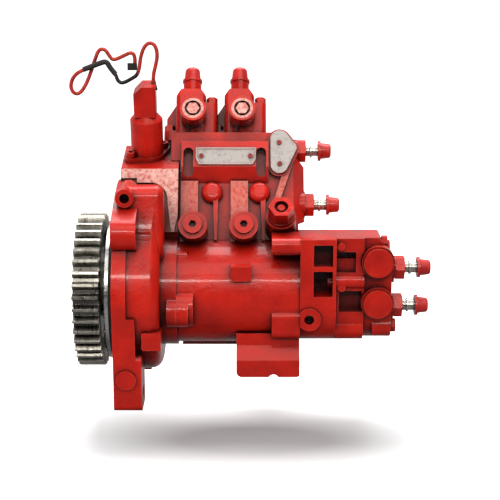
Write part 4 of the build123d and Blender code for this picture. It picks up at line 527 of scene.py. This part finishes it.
# ---------------------------------------------------------------- pigtail cord
WIRE_POINTS = (
    (38.5, 40.0, 218.0),
    (38.5, 40.0, 231.0),
    (41.5, 39.5, 242.0),
    (44.0, 39.0, 254.0),
    (41.5, 39.0, 264.5),
    (35.5, 38.5, 267.5),
    (29.5, 38.0, 263.0),
    (25.5, 37.5, 252.0),
    (24.0, 37.0, 240.0),
    (21.5, 36.5, 232.0),
    (14.0, 36.0, 227.5),
    (5.0, 36.0, 223.0),
    (0.0, 36.0, 226.0),
    (-2.0, 36.0, 233.0),
    (-8.0, 36.0, 240.0),
    (-11.5, 36.0, 247.5),
    (-20.0, 35.5, 244.8),
    (-37.0, 35.0, 238.3),
    (-47.5, 35.0, 232.0),
    (-52.0, 36.0, 221.0),
    (-49.5, 37.5, 212.5),
    (-43.0, 39.0, 211.0),
    (-36.5, 40.5, 219.0),
    (-31.0, 41.0, 231.0),
    (-25.0, 41.5, 248.0),
    (-20.5, 41.5, 259.5),
    (-13.5, 41.5, 260.0),
    (-9.0, 41.5, 252.5),
    (-5.0, 41.5, 247.5),
    (5.5, 41.5, 252.0),
    (15.5, 42.0, 257.0),
    (19.5, 42.5, 251.0),
    (18.5, 42.5, 240.0),
)
WIRE_R = 2.1
BOOT_R = 2.6
BOOT_PLACES = (((38.5, 40, 215.5), 1.9), ((38.5, 40, 219), 1.7), ((38.7, 40, 223.5), 1.05))
TAPE_R = 2.9
TAPE_PLACES = [(place, 1.0) for place in WIRE_POINTS[13:18]]


def tube_data(name, places, radius):
    """Capped round tube along a smooth spline, from (place in mm, swell) pairs."""
    data = bpy.data.curves.new(name, "CURVE")
    data.dimensions = "3D"
    spline = data.splines.new("NURBS")
    spline.points.add(len(places) - 1)
    for point, (place, swell) in zip(spline.points, places):
        point.co = (*(v * MM for v in place), 1)
        point.radius = swell
    spline.order_u = 3
    spline.use_endpoint_u = True
    data.bevel_depth = radius * MM
    data.bevel_resolution = 6
    data.use_fill_caps = True
    return data


def make_cord():
    """The sleeved pigtail as one smooth spline led by the points of its route."""
    data = tube_data("pigtail_wire", [(place, 1.0) for place in WIRE_POINTS], WIRE_R)
    data.resolution_u = 10
    wire = bpy.data.objects.new("pigtail_wire", data)
    scene.collection.objects.link(wire)
    data.materials.append(red_wire)
    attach(wire, "pump")
    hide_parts("pigtail_cord")
    return wire


def make_tube(name, places, radius, mat):
    """A short wrap or boot round the cord."""
    data = tube_data(name, places, radius)
    tube = bpy.data.objects.new(name, data)
    scene.collection.objects.link(tube)
    data.materials.append(mat)
    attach(tube, "pump")
    return tube


make_tube("wire_boot", BOOT_PLACES, BOOT_R, rubber)
tape_wrap = make_tube("tape_wrap", TAPE_PLACES, TAPE_R, rubber)
pigtail = make_cord()


# ---------------------------------------------------------------- floor, world and lights
FLOOR_AT = (0.150, -0.071, -0.150)    # middle of the glow's dim patch, 38 mm below the pump's lowest point
FLOOR_HALF = 6
FLOOR_WHITE = (0.9, 0.9, 0.9)         # what the camera sees
FLOOR_DULL = (0.3, 0.3, 0.3)          # what light bounces off
GLOW_NEAR = 0.12                      # strength of the floor's glow below the object
GLOW_SPAN = (0.08, 0.3)               # distances over which it grows to 1, m
GLOW_SQUASH = (1, 2.4, 1)
WHITE = (1, 1, 1, 1)
SKY = 0.42                            # the world as a light
SKY_FRONT = 0.03                      # the surroundings as mirrors show them, in front of the object
SKY_BEHIND = 0.45                     # and behind it
CENTRE = (0.13, 0, 0.05)
WARM = (1.0, 0.95, 0.89)


def shown_ray(tree):
    """1 for camera, glossy and transmission rays, 0 for all others."""
    path = tree.nodes.new("ShaderNodeLightPath")
    value = path.outputs["Is Camera Ray"]
    for name in ("Is Glossy Ray", "Is Transmission Ray"):
        node = tree.nodes.new("ShaderNodeMath")
        node.operation = "MAXIMUM"
        link(tree, value, node.inputs[0])
        link(tree, path.outputs[name], node.inputs[1])
        value = node.outputs[0]
    return value


def make_floor():
    """Floor that keeps the object's shadow and glows white away from it. Mirrors see it dimmer."""
    mesh = bpy.data.meshes.new("floor")
    corners = [(x * FLOOR_HALF, y * FLOOR_HALF, 0) for x, y in ((-1, -1), (1, -1), (1, 1), (-1, 1))]
    mesh.from_pydata(corners, [], [(0, 1, 2, 3)])
    floor = bpy.data.objects.new("floor", mesh)
    floor.location = FLOOR_AT
    scene.collection.objects.link(floor)
    mat, tree, shader, where = new_material("floor_white")
    path = tree.nodes.new("ShaderNodeLightPath")
    camera_ray = path.outputs["Is Camera Ray"]
    link(tree, mix(tree, camera_ray, FLOOR_DULL, FLOOR_WHITE), shader.inputs["Base Color"])
    shader.inputs["Roughness"].default_value = 1.0
    shader.inputs["Specular IOR Level"].default_value = 0.0
    squeeze = tree.nodes.new("ShaderNodeVectorMath")
    squeeze.operation = "MULTIPLY"
    squeeze.inputs[1].default_value = GLOW_SQUASH
    link(tree, where, squeeze.inputs[0])
    length = tree.nodes.new("ShaderNodeVectorMath")
    length.operation = "LENGTH"
    link(tree, squeeze.outputs["Vector"], length.inputs[0])
    glow = mapped(tree, length.outputs["Value"], *GLOW_SPAN, GLOW_NEAR, 1.0)
    shader.inputs["Emission Color"].default_value = WHITE
    behind = mapped(tree, along(tree, where, (0, 1, 0)), 0.0, 0.6, SKY_FRONT, SKY_BEHIND)
    seen = both(tree, shown_ray(tree), pick(tree, camera_ray, behind, 1.0))
    link(tree, both(tree, glow, seen), shader.inputs["Emission Strength"])
    mesh.materials.append(mat)
    return floor


def make_world():
    """Soft grey studio light. The camera sees it white, and mirrors see it dark in front."""
    world = bpy.data.worlds.new("studio")
    scene.world = world
    world.use_nodes = True
    tree = world.node_tree
    tree.nodes.clear()
    out = tree.nodes.new("ShaderNodeOutputWorld")
    sky = tree.nodes.new("ShaderNodeBackground")
    sky.inputs["Strength"].default_value = SKY
    sky.inputs["Color"].default_value = WHITE
    seen = tree.nodes.new("ShaderNodeBackground")
    seen.inputs["Color"].default_value = WHITE
    coords = tree.nodes.new("ShaderNodeTexCoord")
    backward = along(tree, coords.outputs["Generated"], (0, 1, 0))
    behind = mapped(tree, backward, -0.1, 0.5, SKY_FRONT, SKY_BEHIND)
    path = tree.nodes.new("ShaderNodeLightPath")
    link(tree, pick(tree, path.outputs["Is Camera Ray"], behind, 1.0), seen.inputs["Strength"])
    chooser = tree.nodes.new("ShaderNodeMixShader")
    link(tree, shown_ray(tree), chooser.inputs["Fac"])
    link(tree, sky.outputs["Background"], chooser.inputs[1])
    link(tree, seen.outputs["Background"], chooser.inputs[2])
    link(tree, chooser.outputs["Shader"], out.inputs["Surface"])


def area_light(name, place, target, size, power, colour=(1, 1, 1)):
    data = bpy.data.lights.new(name, "AREA")
    data.shape = "RECTANGLE"
    data.size, data.size_y = size
    data.energy = power
    data.color = colour
    lamp = bpy.data.objects.new(name, data)
    lamp.location = place
    lamp.rotation_euler = (Vector(target) - Vector(place)).to_track_quat("-Z", "Y").to_euler()
    scene.collection.objects.link(lamp)
    return lamp


def spare_floor(lamp, floor):
    """Keeps a lamp's light off the floor, so that of the lamps only the overhead one casts a shadow there."""
    spared = bpy.data.collections.new(lamp.name + "_spares")
    spared.objects.link(floor)
    spared.collection_objects[0].light_linking.link_state = "EXCLUDE"
    lamp.light_linking.receiver_collection = spared


floor = make_floor()
make_world()
area_light("overhead", (0.13, 0.45, 1.2), CENTRE, (1.1, 0.8), 20)
for name, place, size, power in (
    ("front_strip", (0.2, -1.35, 0.85), (1.2, 0.12), 13),
    ("left_strip", (-1.1, -0.7, 0.45), (0.2, 1.2), 6),
    ("front_fill", (0.4, -0.75, 1.55), (1.4, 0.8), 9),
):
    spare_floor(area_light(name, place, CENTRE, size, power, WARM), floor)
